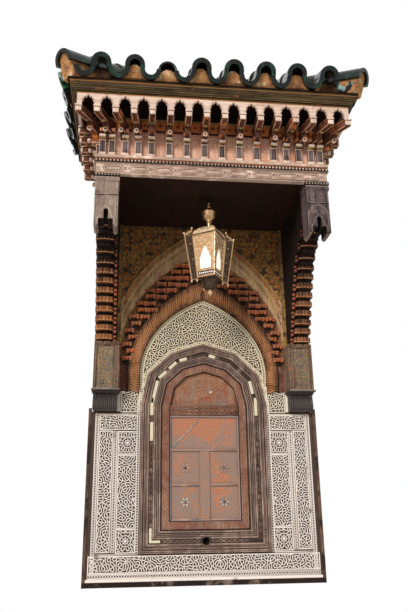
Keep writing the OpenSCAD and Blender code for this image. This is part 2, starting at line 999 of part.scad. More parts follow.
module lantern_window() {
    half = lantern_foot_r * 0.484;
    h = lantern_h * 0.526;
    translate([0, 0, cage_z + lantern_h * 0.18])
        rotate([90, 0, 0])
            linear_extrude(lantern_top_r + 20)
                polygon([[-half, 0], [half, 0], [half, h * 0.5], [half * 0.85, h * 0.56], [half * 0.74, h * 0.66],
                    [half * 0.2, h * 0.96], [0, h], [-half * 0.2, h * 0.96], [-half * 0.74, h * 0.66],
                    [-half * 0.85, h * 0.56], [-half, h * 0.5]]);
}

// How far the fins stand out past the corners at their tip; the front corner has none
fin_reach = 78;
module lantern_fin() {
    sheet = 5;
    bite = 6;
    top = cage_z + lantern_h;
    color("#b08a58")
        rotate([90, 0, 0])
            translate([0, 0, -sheet / 2])
                linear_extrude(sheet)
                    polygon([[lantern_foot_r - bite, cage_z + 8], [lantern_foot_r - bite, cage_z + 1],
                        [lantern_foot_r + 2, cage_z + 1], [lantern_foot_r + 4, cage_z - 14],
                        [lantern_foot_r + 50, cage_z - 24], [lantern_top_r + fin_reach, top - 4],
                        [lantern_top_r + 17, top + 46], [lantern_top_r + 11, top + 30],
                        [lantern_top_r + 11, top - rim_h - 2], [lantern_top_r - bite, top - rim_h - 2]]);
}

module lantern_cage() {
    wall = 7;
    color("#b08a58")
        translate([0, -lantern_y, 0]) {
            difference() {
                tapered_body(0, 0, lantern_h);
                tapered_body(wall, -1, lantern_h + 1);
                for (k = [0 : sides - 1])
                    rotate([0, 0, lantern_turn + 45 + 90 * k])
                        lantern_window();
            }
            for (k = [1 : sides - 1])
                rotate([0, 0, lantern_turn - 90 + 90 * k])
                    lantern_fin();
        }
}

module lantern_glass() {
    color("#f4efe2")
        translate([0, -lantern_y, 0])
            difference() {
                tapered_body(8, 1, lantern_h - 1);
                tapered_body(12, 0, lantern_h);
            }
}

module lantern_base() {
    color("#8a6a3c")
        translate([0, -lantern_y, 0]) {
            translate([0, 0, cage_z - 12])
                rotate([0, 0, lantern_turn - 90])
                    cylinder(r = lantern_foot_r + 1, h = 12, $fn = sides);
            rotate_extrude()
                polygon([[0, cage_z - 11], [56, cage_z - 11], [54, cage_z - 25], [50, cage_z - 60], [40, cage_z - 84],
                    [22, cage_z - 94], [12, cage_z - 100], [14, cage_z - 108], [17, cage_z - 116], [12, cage_z - 125],
                    [5, cage_z - 132], [0, cage_z - 138]]);
        }
}

plaster_surround();
edge_strips();
foot_board();
frame_sill();
frame_stiles();
frame_head();
inner_frame();
lunette_panel();
transom_rail();
shutter_frame();
shutter_panels();
spandrel_board();
arch_mouldings();
stalactite_arch();
ribbed_arch();
corbel(-1);  // corbel_left
corbel(1);  // corbel_right
pilaster(-1);  // pilaster_left
pilaster(1);  // pilaster_right
stepped_bracket(-1);  // bracket_left
stepped_bracket(1);  // bracket_right
hanging_post(-1);  // post_left
hanging_post(1);  // post_right
soffit_boards();
architrave_front();
architrave_side(-1);  // architrave_left
architrave_side(1);  // architrave_right
frieze_front();
frieze_side(-1);  // frieze_left
frieze_side(1);  // frieze_right
beams_front();
beams_side(-1);  // beams_left
beams_side(1);  // beams_right
arcade_front();
arcade_side(-1);  // arcade_left
arcade_side(1);  // arcade_right
cornice();
roof_deck();
tile_bedding();
roof_tiles_front();
roof_tiles_side(-1);  // roof_tiles_left
roof_tiles_side(1);  // roof_tiles_right
hip_bedding();
hip_tiles();
back_boards();
ceiling_hook();
lantern_rod();
lantern_cap();
lantern_cage();
lantern_glass();
lantern_base();
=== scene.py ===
"""Looks of the canopied window bay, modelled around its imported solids.

The wall is the plane y = 0, the front faces -Y and z = 0 is the foot of the plaster panel.
Everything is in metres.
"""

import random
from functools import partial
from math import atan, atan2, ceil, copysign, cos, dist, hypot, pi, radians, sin, sqrt, tan, tau

import bmesh
import bpy
from bpy.props import CollectionProperty, FloatProperty, FloatVectorProperty, IntProperty, PointerProperty
from mathutils import Matrix, Vector


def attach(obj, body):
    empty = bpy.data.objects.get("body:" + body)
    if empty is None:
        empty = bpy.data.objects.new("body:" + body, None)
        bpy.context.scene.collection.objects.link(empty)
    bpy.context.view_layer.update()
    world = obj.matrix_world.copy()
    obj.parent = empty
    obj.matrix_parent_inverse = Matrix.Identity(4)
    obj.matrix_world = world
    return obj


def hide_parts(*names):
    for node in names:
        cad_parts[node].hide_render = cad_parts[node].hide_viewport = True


bl_info = {
    "name": "Canopied window bay",
    "version": (1, 0, 0),
    "blender": (4, 5, 0),
    "location": "3D View > Sidebar > Window bay",
    "description": "Carving, paint, roof tiles and lantern work of a canopied window bay",
    "category": "Object",
}

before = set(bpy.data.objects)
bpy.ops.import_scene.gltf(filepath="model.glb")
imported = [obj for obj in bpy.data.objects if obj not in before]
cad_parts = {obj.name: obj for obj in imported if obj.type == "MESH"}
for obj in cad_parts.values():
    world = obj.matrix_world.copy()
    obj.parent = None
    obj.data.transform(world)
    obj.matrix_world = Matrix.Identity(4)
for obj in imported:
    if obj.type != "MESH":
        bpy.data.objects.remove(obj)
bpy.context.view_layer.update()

# Main lines of the solids
PLASTER = 0.03
FRAME_HALF = 0.496
FRAME_FOOT = 0.222
FRAME_SPRING = 1.322
HEAD_RISE = 0.494
HEAD_CORNERS = ((1, 0), (0.893, 0.492), (0.514, 0.85), (0, 1))
PLASTER_ARCH = (0.507, 1.46, 0.74)
RIBBED_ARCH = (0.6, 1.46, 0.9)
CELL_ARCH = (0.671, 1.6, 1.01)
PLAIN_ARCH = (0.72, 1.6, 1.15)
ROPE_ARCH = (0.77, 1.6, 1.24)
ARCH_FULLNESS = 0.03
PILASTER_FOOT = 1.423
TIER_FOOT = 1.79
SOFFIT = 2.87
POST_IN = 0.702
BAY_HALF = 0.872
CANOPY = 0.885
ARCADE_FOOT = 3.305
BEAM_PITCH = 0.13353
ROOF = 3.49
EAVE_HALF = 1.09
EAVE_DEPTH = 1.165
SLOPE = radians(28)
TILE_PITCH = 0.2409
LANTERN_Y = 0.55
CAGE_FOOT = 2.193
CAGE_TOP = 2.535
CAGE_TURN = radians(13)
CAGE_RADII = (0.095, 0.127)
PILASTER_IN = 0.672
MEDALLION_X = 0.594
RIB_FOOT = 1.43
ROPE_HEIGHT = 2.9745
FRIEZE_FOOT = 3.022
SIDE_PITCH = 0.13445
PANEL_OUT = 0.028
INNER_OUT = 0.05
ARCADE_OUTS = (1.09, 1.015)
QUARTER = Matrix.Rotation(pi / 2, 4, "Z")
MIRROR = Matrix.Diagonal((-1, 1, 1, 1))


def srgb(code):
    """Linear colour of a hex code."""
    parts = [int(code[i:i + 2], 16) / 255 for i in (0, 2, 4)]
    return tuple(c / 12.92 if c <= 0.04045 else ((c + 0.055) / 1.055) ** 2.4 for c in parts)


PALETTE = {
    "plaster_rib": ("fcf0e8", "Raised plaster"),
    "plaster_warm": ("fff0d0", "Raised plaster of the arch"),
    # The dark ground between the plaster ribs holds their painted shade as well as dust.
    "plaster_ground": ("2c1f17", "Dusty ground of the plaster carving"),
    "frame_wood": ("806a60", "Weathered frame"),
    "frame_dark": ("261812", "Grain and grooves of the frame"),
    "frame_edge": ("c4a694", "Worn edges of the frame"),
    "bone": ("e8dfc0", "Bone inlay"),
    "carved_red": ("82523e", "Carved inner frame"),
    "carved_pale": ("b8937a", "Worn ridges of the carving"),
    "shutter_orange": ("e27a46", "Orange paint of the shutter"),
    "shutter_grey": ("868a90", "Grey-blue paint of the shutter"),
    "shutter_pink": ("b48c7e", "Faded pink of the shutter"),
    "shutter_light": ("c8c2ba", "Light grey lines of the shutter"),
    "spandrel": ("6e4f1e", "Olive ground of the painted boards"),
    "gold": ("e0a84c", "Gold paint"),
    "orange": ("d06a30", "Orange paint"),
    "plain_band": ("e0b88a", "Plain band of the arch"),
    "cell_red": ("c4683a", "Stalactite cells"),
    "cell_tan": ("dcae7c", "Worn edges of the cells"),
    # Black used as painted shade in hollows, grooves, niches, gaps and towards the ceiling, and as dark dirt
    # and grain elsewhere.
    "soot": ("180c06", "Hollows and sooted boards"),
    "rib_tan": ("c08c60", "Worn crests of the ribbed band"),
    "soffit": ("2c1408", "Sooted ceiling boards"),
    "ribbed": ("926242", "Ribbed band"),
    "corbel": ("33241a", "Corbels"),
    "pilaster": ("5a5c54", "Pilaster panels"),
    "pilaster_wood": ("80604e", "Pilaster frames"),
    "bracket": ("ac7044", "Lobes of the brackets"),
    "tooth": ("a85440", "Red teeth of the brackets"),
    "pale_wood": ("a08c7e", "Bleached posts"),
    "post_pale": ("dccabc", "Ridges of the posts"),
    # Also darkens the right post as painted shade; the column shafts take it as their own grey.
    "post_grey": ("78686a", "Grey weathered post"),
    "entablature": ("c8a894", "Bleached architrave and arcade"),
    "frieze": ("f2ac86", "Faded pink frieze"),
    "square": ("ee8848", "Painted squares"),
    "beam_end": ("f6dccb", "Pale beam ends"),
    "beam_side": ("744632", "Dark beam sides"),
    "cornice": ("665238", "Cornice"),
    "cornice_line": ("c8ac64", "Ochre lines of the cornice"),
    "glaze": ("0c1813", "Green tile glaze"),
    "glaze_edge": ("2c6a4e", "Thin glaze on tile edges"),
    "glaze_blue": ("a8c8c6", "Pale blue glaze"),
    "mortar": ("b8824e", "Mortar wedges"),
    "brass": ("bc8c4c", "Lantern brass"),
    "brass_pale": ("f4dcba", "Pale brass of the cap"),
    "copper": ("54402f", "Dark copper of the lantern"),
    "floor": ("e9e7e2", "Floor"),
}


def ceiling_shade_group():
    """Painted shade that darkens colours towards the canopy's ceiling."""
    def fill(tree, ins):
        height = axes_of(tree)[2]
        mask = sums(tree, "MULTIPLY", ramp(tree, height, ins["Low"], ins["High"]), ins["Amount"])
        return mix(tree, mask, ins["Colour"], ins["Soot"]), mask
    return group("Soot", (("Colour", "Color", WHITE), ("Soot", "Color", BLACK), ("Low", "Float", 2),
        ("High", "Float", 2.9), ("Amount", "Float", 0.8)), (("Colour", "Color"), ("Mask", "Float")), fill)


# Darkens a colour towards the canopy's ceiling: painted shade.
def ceiling_shaded(tree, tone, amount, low=2.05, high=2.86):
    if not amount:
        return tone
    return use(tree, ceiling_shade_group(), {"Colour": tone, "Soot": colour("soot"), "Low": low, "High": high,
        "Amount": amount})["Colour"]


class BaySizes(bpy.types.PropertyGroup):
    """Sizes of the carving, tiles and lantern work."""

    rib: FloatProperty(name="Rib", description="Half width of a carved plaster rib", default=0.0044,
        unit="LENGTH")
    meander: FloatProperty(name="Meander", description="Spacing of the ribs of the arabesque", default=0.0152,
        unit="LENGTH")
    chain: FloatProperty(name="Chain", description="Spacing of the rings in a chain border", default=0.019,
        unit="LENGTH")
    ridge: FloatProperty(name="Ridge", description="Half width of a ridge on carved wood", default=0.0035,
        unit="LENGTH")
    gadroon: FloatProperty(name="Gadroon", description="Spacing of the ribs of the ribbed band",
        default=0.019, unit="LENGTH")
    cell: FloatProperty(name="Cell", description="Width of a stalactite cell", default=0.088, unit="LENGTH")
    rope: FloatProperty(name="Rope", description="Spacing of the strands of a rope moulding", default=0.016,
        unit="LENGTH")
    cover: FloatProperty(name="Cover tile", description="Outer radius of a cover tile", default=0.073,
        unit="LENGTH")
    channel: FloatProperty(name="Channel tile", description="Outer radius of a channel tile", default=0.0765,
        unit="LENGTH")
    tile: FloatProperty(name="Tile", description="Thickness of a tile at its lip", default=0.033,
        unit="LENGTH")
    course: FloatProperty(name="Course", description="Length of a roof tile that shows", default=0.3,
        unit="LENGTH")
    seed: IntProperty(name="Seed", description="Start of the small irregularities", default=7)


class BayColour(bpy.types.PropertyGroup):
    """One colour of the palette."""

    about: bpy.props.StringProperty(name="Use", description="Where this colour is used")
    value: FloatVectorProperty(name="Colour", description="Linear colour of the finish", subtype="COLOR",
        size=3, min=0, max=1)


class BaySettings(bpy.types.PropertyGroup):
    """Everything a user may change."""

    sizes: PointerProperty(type=BaySizes, name="Sizes", description="Sizes of the details")
    palette: CollectionProperty(type=BayColour, name="Palette", description="Colours of the finishes")


def size():
    return bpy.context.scene.window_bay.sizes


def colour(name):
    return tuple(bpy.context.scene.window_bay.palette[name].value) + (1,)


# Materials


def add(tree, kind, values=None, **settings):
    """Adds a shader node, with each value a number, a colour or the socket that feeds it."""
    node = tree.nodes.new("ShaderNode" + kind)
    for key, value in settings.items():
        setattr(node, key, value)
    for key, value in (values or {}).items():
        if isinstance(value, bpy.types.NodeSocket):
            tree.links.new(value, node.inputs[key])
        else:
            node.inputs[key].default_value = value
    return node


def mix(tree, factor, a, b, mode="MIX"):
    return add(tree, "Mix", {0: factor, 6: a, 7: b}, data_type="RGBA", blend_type=mode).outputs[2]


def ramp(tree, value, low, high, to_low=0, to_high=1):
    keys = {"Value": value, "From Min": low, "From Max": high, "To Min": to_low, "To Max": to_high}
    return add(tree, "MapRange", keys).outputs[0]


def sums(tree, operation, a, b):
    return add(tree, "Math", {0: a, 1: b}, operation=operation).outputs[0]


def spot_of(tree):
    return add(tree, "TexCoord").outputs["Object"]


def axes_of(tree):
    return add(tree, "SeparateXYZ", {0: spot_of(tree)}).outputs


def noise(tree, where, scale, detail, **more):
    return add(tree, "TexNoise", {"Vector": where, "Scale": scale, "Detail": detail, **more}).outputs[0]


def group(name, inputs, outputs, fill):
    """Builds a node group once."""
    tree = bpy.data.node_groups.get(name)
    if tree is None:
        tree = bpy.data.node_groups.new(name, "ShaderNodeTree")
        for label, kind, value in inputs:
            socket = tree.interface.new_socket(label, in_out="INPUT", socket_type="NodeSocket" + kind)
            if value is not None:
                socket.default_value = value
        for label, kind in outputs:
            tree.interface.new_socket(label, in_out="OUTPUT", socket_type="NodeSocket" + kind)
        results = fill(tree, tree.nodes.new("NodeGroupInput").outputs)
        ends = tree.nodes.new("NodeGroupOutput").inputs
        for (label, kind), result in zip(outputs, results):
            tree.links.new(result, ends[label])
    return tree


def use(tree, group_tree, values):
    return add(tree, "Group", values, node_tree=group_tree).outputs


WHITE = (1, 1, 1, 1)
BLACK = (0, 0, 0, 1)


def grain_group():
    """Long streaks of wood grain with checks."""
    def fill(tree, ins):
        fine = noise(tree, ins["Vector"], 1, 6, Roughness=0.7)
        broad = noise(tree, ins["Vector"], 0.22, 3, Distortion=0.6)
        both = sums(tree, "ADD", sums(tree, "MULTIPLY", fine, 0.6), sums(tree, "MULTIPLY", broad, 0.4))
        streak = ramp(tree, both, 0.38, 0.6)
        return mix(tree, streak, ins["Dark"], ins["Light"]), streak
    return group("Wood grain", (("Vector", "Vector", None), ("Light", "Color", WHITE),
        ("Dark", "Color", BLACK)), (("Colour", "Color"), ("Height", "Float")), fill)


def patch_group():
    """Uneven patches of dust, fading or dirt."""
    def fill(tree, ins):
        lumps = noise(tree, spot_of(tree), ins["Scale"], 7, Roughness=0.62)
        edge = sums(tree, "SUBTRACT", 0.7, sums(tree, "MULTIPLY", ins["Amount"], 0.3))
        mask = ramp(tree, lumps, edge, sums(tree, "ADD", edge, 0.13))
        return mix(tree, mask, ins["Colour"], ins["Patch"]), mask
    return group("Patches", (("Colour", "Color", WHITE), ("Patch", "Color", BLACK), ("Amount", "Float", 0.5),
        ("Scale", "Float", 6)), (("Colour", "Color"), ("Mask", "Float")), fill)


def recess_shade_group():
    """Painted shade that deepens from a face towards the wall behind it."""
    def fill(tree, ins):
        where = axes_of(tree)[1]
        out = sums(tree, "MULTIPLY", where, -1)
        low = sums(tree, "SUBTRACT", ins["Front"], ins["Depth"])
        mask = ramp(tree, out, low, ins["Front"])
        return mix(tree, mask, ins["Shade"], ins["Colour"]), mask
    return group("Recess shade", (("Colour", "Color", WHITE), ("Shade", "Color", BLACK), ("Front", "Float", 0),
        ("Depth", "Float", 0.01)), (("Colour", "Color"), ("Mask", "Float")), fill)


def patched(tree, tone, patch, amount, scale):
    values = {"Colour": tone, "Patch": colour(patch), "Amount": amount, "Scale": scale}
    return use(tree, patch_group(), values)["Colour"]


# Darkens a colour towards the wall behind a face: painted shade in hollows.
def recess_shaded(tree, tone, dirt_and_shade, front, deep):
    return use(tree, recess_shade_group(), {"Colour": tone, "Shade": colour(dirt_and_shade), "Front": front,
        "Depth": deep})["Colour"]


def motif_group():
    """Small painted flowers, leaves and dots."""
    def fill(tree, ins):
        cells = add(tree, "TexVoronoi", {"Vector": ins["Vector"], "Scale": 1, "Randomness": 0.55})
        rings = sums(tree, "MULTIPLY", cells.outputs["Distance"], 17)
        ring = add(tree, "Math", {0: rings}, operation="SINE").outputs[0]
        petals = ramp(tree, ring, 0.05, 0.55)
        leaf = add(tree, "TexVoronoi", {"Vector": ins["Vector"], "Scale": 2.3}, feature="SMOOTH_F1")
        leaves = ramp(tree, leaf.outputs["Distance"], 0.34, 0.24)
        ground = mix(tree, leaves, ins["Ground"], ins["Second"])
        return mix(tree, petals, ground, ins["First"]), sums(tree, "ADD", petals, leaves)
    return group("Painted motif", (("Vector", "Vector", None), ("Ground", "Color", BLACK),
        ("First", "Color", WHITE), ("Second", "Color", WHITE)), (("Colour", "Color"), ("Height", "Float")),
        fill)


def surface(name, build, rough=0.75, bump=0.25, distance=0.002, **shader):
    """Makes a material; build returns its colour, height and, if it varies, its roughness."""
    name = "bay_" + name
    material = bpy.data.materials.get(name)
    if material:
        return material
    material = bpy.data.materials.new(name)
    material.use_nodes = True
    tree = material.node_tree
    tree.nodes.clear()
    parts = build(tree)
    main = add(tree, "BsdfPrincipled", {"Base Color": parts[0], "Roughness": rough})
    for key, value in shader.items():
        main.inputs[key.replace("_", " ")].default_value = value
    if len(parts) > 2:
        tree.links.new(parts[2], main.inputs["Roughness"])
    relief = add(tree, "Bump", {"Strength": bump, "Distance": distance, "Height": parts[1]})
    tree.links.new(relief.outputs[0], main.inputs["Normal"])
    tree.links.new(main.outputs[0], add(tree, "OutputMaterial").inputs[0])
    return material


def stretched(tree, scale):
    return add(tree, "Mapping", {0: spot_of(tree), "Scale": scale}).outputs[0]


ALONG_X = (5, 70, 70)
ALONG_Y = (70, 5, 70)
ALONG_Z = (70, 70, 5)


def wood(name, light, dark, patch=None, amount=0.5, run=ALONG_Z, rough=0.78, front=None, deep=0.01, smoke=0,
        low=2.05, high=2.86):
    """Weathered wood with patches of paint or dust; painted shade in its hollows where front is given and
    towards the ceiling where an amount is given.
    """
    def build(tree):
        grain = use(tree, grain_group(), {"Vector": stretched(tree, run), "Light": colour(light),
            "Dark": colour(dark)})
        tone = grain["Colour"]
        if patch:
            tone = patched(tree, tone, patch, amount, 9)
        # Painted shade: darker towards the wall behind the front, then towards the canopy's ceiling.
        if front:
            tone = recess_shaded(tree, tone, "frame_dark", front, deep)
        return ceiling_shaded(tree, tone, smoke, low, high), grain["Height"]
    return surface(name, build, rough, Specular_IOR_Level=0.22)


def painted(name, ground, first, second, scale=28, wear="frame_dark", amount=0.45, smoke=0):
    """Boards painted with small flowers, worn down to the wood, with painted shade towards the ceiling where
    an amount is given.
    """
    def build(tree):
        motif = use(tree, motif_group(), {"Vector": stretched(tree, (scale, scale, scale)),
            "Ground": colour(ground), "First": colour(first), "Second": colour(second)})
        grain = use(tree, grain_group(), {"Vector": stretched(tree, ALONG_Z), "Light": WHITE,
            "Dark": (0.45, 0.42, 0.4, 1)})
        tone = mix(tree, 0.8, motif["Colour"], grain["Colour"], "MULTIPLY")
        worn = patched(tree, tone, wear, amount, 14)
        height = sums(tree, "ADD", grain["Height"], sums(tree, "MULTIPLY", motif["Height"], 0.5))
        # Painted shade towards the canopy's ceiling.
        return ceiling_shaded(tree, worn, smoke), height
    return surface(name, build, 0.7)


def stone(name, light, dirt_and_shade, amount=0.4, patch_scale=7, front=None, deep=0.02, warm=None):
    """Dry plaster or mortar, warmer high up where a second colour is given, and darker towards the wall
    behind its front as painted shade where front is given.
    """
    def build(tree):
        where = spot_of(tree)
        fine = noise(tree, where, 240, 4)
        base = colour(light)
        if warm:
            height = add(tree, "SeparateXYZ", {0: where}).outputs[2]
            base = mix(tree, ramp(tree, height, 1.1, 1.55), base, colour(warm))
        tone = mix(tree, ramp(tree, fine, 0.3, 0.7, 0, 0.3), base, colour(dirt_and_shade))
        tone = patched(tree, tone, dirt_and_shade, amount, patch_scale)
        # Painted shade in the hollows, darker towards the wall.
        if front:
            tone = recess_shaded(tree, tone, dirt_and_shade, front, deep)
        return tone, fine
    return surface(name, build, 0.92, 0.35)


def mortar_mix(name):
    """Smooth ochre mortar with brown, pale and dirty patches."""
    def build(tree):
        where = spot_of(tree)
        lumps = noise(tree, where, 14, 6, Roughness=0.62)
        tone = mix(tree, ramp(tree, lumps, 0.36, 0.5), colour("carved_red"), colour("mortar"))
        tone = mix(tree, ramp(tree, lumps, 0.56, 0.72, 0, 0.8), tone, colour("plaster_warm"))
        tone = patched(tree, tone, "frame_dark", 0.45, 16)
        return tone, lumps
    return surface(name, build, 0.93, 0.6, 0.01)


def glaze(name, main, edge, amount=0.4):
    """Fired glaze that pools dark and runs thin on edges."""
    def build(tree):
        where = spot_of(tree)
        run = noise(tree, where, 11, 5, Distortion=0.8)
        pits = noise(tree, where, 90, 3)
        tone = mix(tree, ramp(tree, run, 0.52, 0.68, 0, amount), colour(main), colour(edge))
        tone = patched(tree, tone, "soot", 0.5, 7)
        height = sums(tree, "ADD", run, sums(tree, "MULTIPLY", pits, 0.3))
        return tone, height, ramp(tree, pits, 0.35, 0.75, 0.1, 0.4)
    return surface(name, build, 0.15, 0.3, 0.006, Specular_IOR_Level=0.28)


def shutter_coat(name, bias, shade):
    """Speckled orange, pink and grey-blue paint; the orange closes up towards the shutter's upper left."""
    def build(tree):
        where = spot_of(tree)
        xyz = add(tree, "SeparateXYZ", {0: where}).outputs
        lean = ramp(tree, sums(tree, "SUBTRACT", xyz[2], sums(tree, "MULTIPLY", xyz[0], 0.5)), 1.07, 1.25,
            bias, bias + 0.24)
        spots = noise(tree, where, 42, 6, Roughness=0.75)
        broad = noise(tree, where, 6, 4)
        lean = sums(tree, "ADD", lean, ramp(tree, broad, 0.42, 0.58, 0.09, -0.13))
        ground = mix(tree, ramp(tree, broad, 0.4, 0.58), colour("shutter_pink"), colour("shutter_grey"))
        ground = mix(tree, ramp(tree, spots, 0.44, 0.34), ground, colour("frame_wood"))
        tone = mix(tree, ramp(tree, sums(tree, "ADD", spots, lean), 0.5, 0.56), ground,
            colour("shutter_orange"))
        return mix(tree, 1, tone, (shade, shade, shade, 1), "MULTIPLY"), spots
    return surface(name, build, 0.75)


def metal(name, bright, dark, amount=0.5, metallic=0.75):
    """Aged sheet metal with a brown skin."""
    def build(tree):
        where = spot_of(tree)
        spots = noise(tree, where, 55, 6)
        tone = mix(tree, ramp(tree, spots, 0.42, 0.66), colour(bright), colour(dark))
        tone = patched(tree, tone, dark, amount, 18)
        return tone, spots, ramp(tree, spots, 0.3, 0.7, 0.32, 0.6)
    return surface(name, build, 0.45, 0.25, 0.001, Metallic=metallic)


def lit_glass(name):
    """Milky panes that glow: painted light as from a lamp behind them."""
    def build(tree):
        where = spot_of(tree)
        cloud = noise(tree, where, 30, 4)
        return mix(tree, ramp(tree, cloud, 0.35, 0.65), (0.86, 0.82, 0.74, 1), (0.97, 0.96, 0.93, 1)), cloud
    return surface(name, build, 0.3, 0.1, 0.001, Emission_Color=(1, 0.96, 0.9, 1), Emission_Strength=0.65)


# Each finish: its kind, its colours, then for wood the patches, their amount and the run of the grain.
# A bare name is the plain material that the solids of that slot come with.
# A finish's value for the shade towards the ceiling, and its front and deep, darken it as painted shade.
FINISHES = {
    "plaster_rib": (stone, "plaster_rib", "plaster_ground", 0.14, {"front": PLASTER + 0.003, "deep": 0.0045,
        "warm": "plaster_warm"}),
    "plaster_plain": (stone, "plaster_rib", "plaster_ground", 0.2, {"warm": "plaster_warm"}),
    "plaster_ground": (stone, "plaster_ground", "frame_wood", 0.3),
    "frame": (wood, "frame_wood", "frame_dark", {"front": 0.062, "deep": 0.014}),
    "frame_ridge": (wood, "frame_edge", "frame_wood", "frame_wood", 0.9),
    "sill": (wood, "frame_wood", "frame_dark", None, 0.5, ALONG_X, {"front": 0.062, "deep": 0.014}),
    "edge": (wood, "pilaster_wood", "frame_dark", "frame_dark", 0.7),
    "foot": (wood, "frame_dark", "soot", "frame_wood", 0.5, ALONG_X),
    "bone": (stone, "bone", "frame_wood", 0.25, {"patch_scale": 30}),
    "inner": (painted, "carved_red", "frame_wood", "orange", 60, "frame_wood", 0.6),
    "inner_ridge": (wood, "carved_pale", "carved_red", "carved_red", 0.8),
    "lunette": (painted, "carved_red", "bracket", "frame_wood", 40, "frame_wood", 0.75),
    "lunette_ridge": (wood, "carved_pale", "bracket", "tooth", 0.7),
    "transom": (wood, "carved_red", "frame_dark", "frame_wood", 0.7, ALONG_X),
    "shutter_edge": (wood, "shutter_pink", "shutter_grey", "frame_edge", 0.5),
    "shutter": "shutter_paint",
    "petal": (wood, "shutter_light", "shutter_grey", "shutter_grey", 0.6),
    "orange_ridge": (shutter_coat, 0, 1.15),
    "spandrel": (painted, "spandrel", "gold", "orange", 27, "frame_dark", 0.7, {"smoke": 0.55}),
    "gold": (wood, "gold", "bracket", "spandrel", 0.3, {"smoke": 0.45}),
    "orange": (wood, "orange", "square", "spandrel", 0.3, {"smoke": 0.45}),
    "rope_gold": (wood, "gold", "frame_dark", "orange", 0.6, {"smoke": 0.6}),
    "mouldings": (painted, "plain_band", "bracket", "shutter_light", 60, "plain_band", 0.5, {"smoke": 0.05}),
    "cell": (wood, "cell_red", "carved_red", "ribbed", 0.6, {"smoke": 0.15}),
    "cell_body": (wood, "ribbed", "frame_dark", "carved_red", 0.5, {"smoke": 0.3}),
    "cell_tip": (wood, "cell_tan", "cell_red", "cell_red", 0.5, {"smoke": 0.3}),
    "soot_paint": (wood, "beam_side", "soot", "soot", 0.4),
    "carved_line": (wood, "carved_red", "frame_dark", "beam_side", 0.5, ALONG_X),
    "orange_bare": (wood, "square", "frieze", "beam_side", 0.6, ALONG_X),
    "shaft": (wood, "post_grey", "frame_dark", "frame_dark", 0.5),
    "frieze_block": (wood, "frieze", "square", "carved_red", 0.5),
    "frieze_ridge": (wood, "beam_end", "frieze", "square", 0.4),
    "beam_edge": (wood, "entablature", "square", "beam_side", 0.5, ALONG_Y),
    "arcade_edge": (wood, "post_pale", "entablature", "entablature", 0.7, ALONG_X),
    "foot_panel": (wood, "carved_red", "frame_dark", "frame_wood", 0.6),
    "rope_dark": (wood, "beam_end", "pale_wood", "pale_wood", 0.5, ALONG_X),
    "frame_wood_dark": (wood, "frame_wood", "frame_dark", "soot", 0.5),
    "soot": (wood, "soot", "soot", "frame_dark", 0.4),
    "ribbed": (wood, "ribbed", "frame_dark", "frame_dark", 0.5),
    "rib_crest": (wood, "rib_tan", "bracket", "bracket", 0.6),
    "corbel": "corbel_wood",
    "pilaster": (painted, "pilaster", "pilaster_wood", "cornice_line", 44, "pilaster_wood", 0.7),
    "pilaster_scroll": (wood, "cornice_line", "pilaster_wood", "pilaster", 0.8),
    "pilaster_edge": (wood, "pilaster_wood", "frame_dark", "tooth", 0.45),
    "lobe": (wood, "bracket", "frame_dark", "cell_tan", 0.55, {"smoke": 0.92, "low": 2.16, "high": 2.38}),
    # Darker copy of the lobes for the right bracket: painted shade.
    "lobe_dark": (wood, "ribbed", "frame_dark", "bracket", 0.4, {"smoke": 0.92, "low": 2.16, "high": 2.38}),
    "cheek": (painted, "spandrel", "gold", "frame_wood", 40, "frame_dark", 0.6, {"smoke": 0.6}),
    "tooth": (wood, "tooth", "carved_red", "carved_pale", 0.4, {"smoke": 0.8, "low": 2.2, "high": 2.5}),
    "post": (wood, "pale_wood", "frame_wood", "frame_dark", 0.4),
    # Darker finish of the right post: painted shade over grey wood.
    "post_weathered": (wood, "post_grey", "frame_dark", "frame_dark", 0.5),
    "post_ridge": (wood, "post_pale", "pale_wood", "pale_wood", 0.8),
    # Painted shade on the right post's carving.
    "post_ridge_worn": (wood, "pale_wood", "post_grey", "post_grey", 0.8),
    "soffit": (wood, "soffit", "soot", "soot", 0.45, ALONG_Y, {"rough": 0.95}),
    "entablature": (wood, "entablature", "pale_wood", "beam_end", 0.6, ALONG_X),
    "entablature_side": (wood, "entablature", "pale_wood", "frieze", 0.5, ALONG_Y),
    "frieze": (painted, "frieze", "beam_end", "square", 50, "frieze", 0.5),
    "square": (painted, "square", "orange", "gold", 46, "square", 0.5),
    "beam": (wood, "beam_side", "soot", "square", 0.5, ALONG_Y),
    "beam_end": (wood, "beam_end", "entablature", "frieze", 0.35),
    "olive": (wood, "cornice_line", "cornice", "frame_wood", 0.5),
    "arcade": (wood, "beam_end", "entablature", "bracket", 0.35, ALONG_X),
    "cornice": (wood, "cornice", "soot", "bracket", 0.45, ALONG_X, {"rough": 0.7}),
    "cornice_line": (wood, "cornice_line", "cornice", "cornice", 0.4, ALONG_X),
    "cornice_orange": (wood, "square", "cornice_line", "frame_dark", 0.5, ALONG_X),
    "glaze": (glaze, "glaze", "glaze_edge"),
    "glaze_light": (glaze, "glaze_edge", "glaze", 0.9),
    "glaze_blue": (glaze, "glaze", "glaze_blue", 0.9),
    "mortar": (mortar_mix,),
    "brass": "lantern_brass",
    "brass_pale": (metal, "brass_pale", "brass", 0.4, 0.45),
    "copper": (metal, "copper", "frame_dark", 0.6, 0.6),
    "iron": (metal, "corbel", "soot", 0.5, 0.6),
    "glass": (lit_glass,),
}


def finish(name):
    """The material of a finish."""
    if isinstance(FINISHES[name], str):
        return bpy.data.materials[FINISHES[name]]
    kind, *values = FINISHES[name]
    more = values.pop() if values and isinstance(values[-1], dict) else {}
    return kind(name, *values, **more)


# Modelling


def only(*objects):
    """Selects these objects alone, the first one active."""
    bpy.ops.object.select_all(action="DESELECT")
    for item in objects:
        item.select_set(True)
    bpy.context.view_layer.objects.active = objects[0]


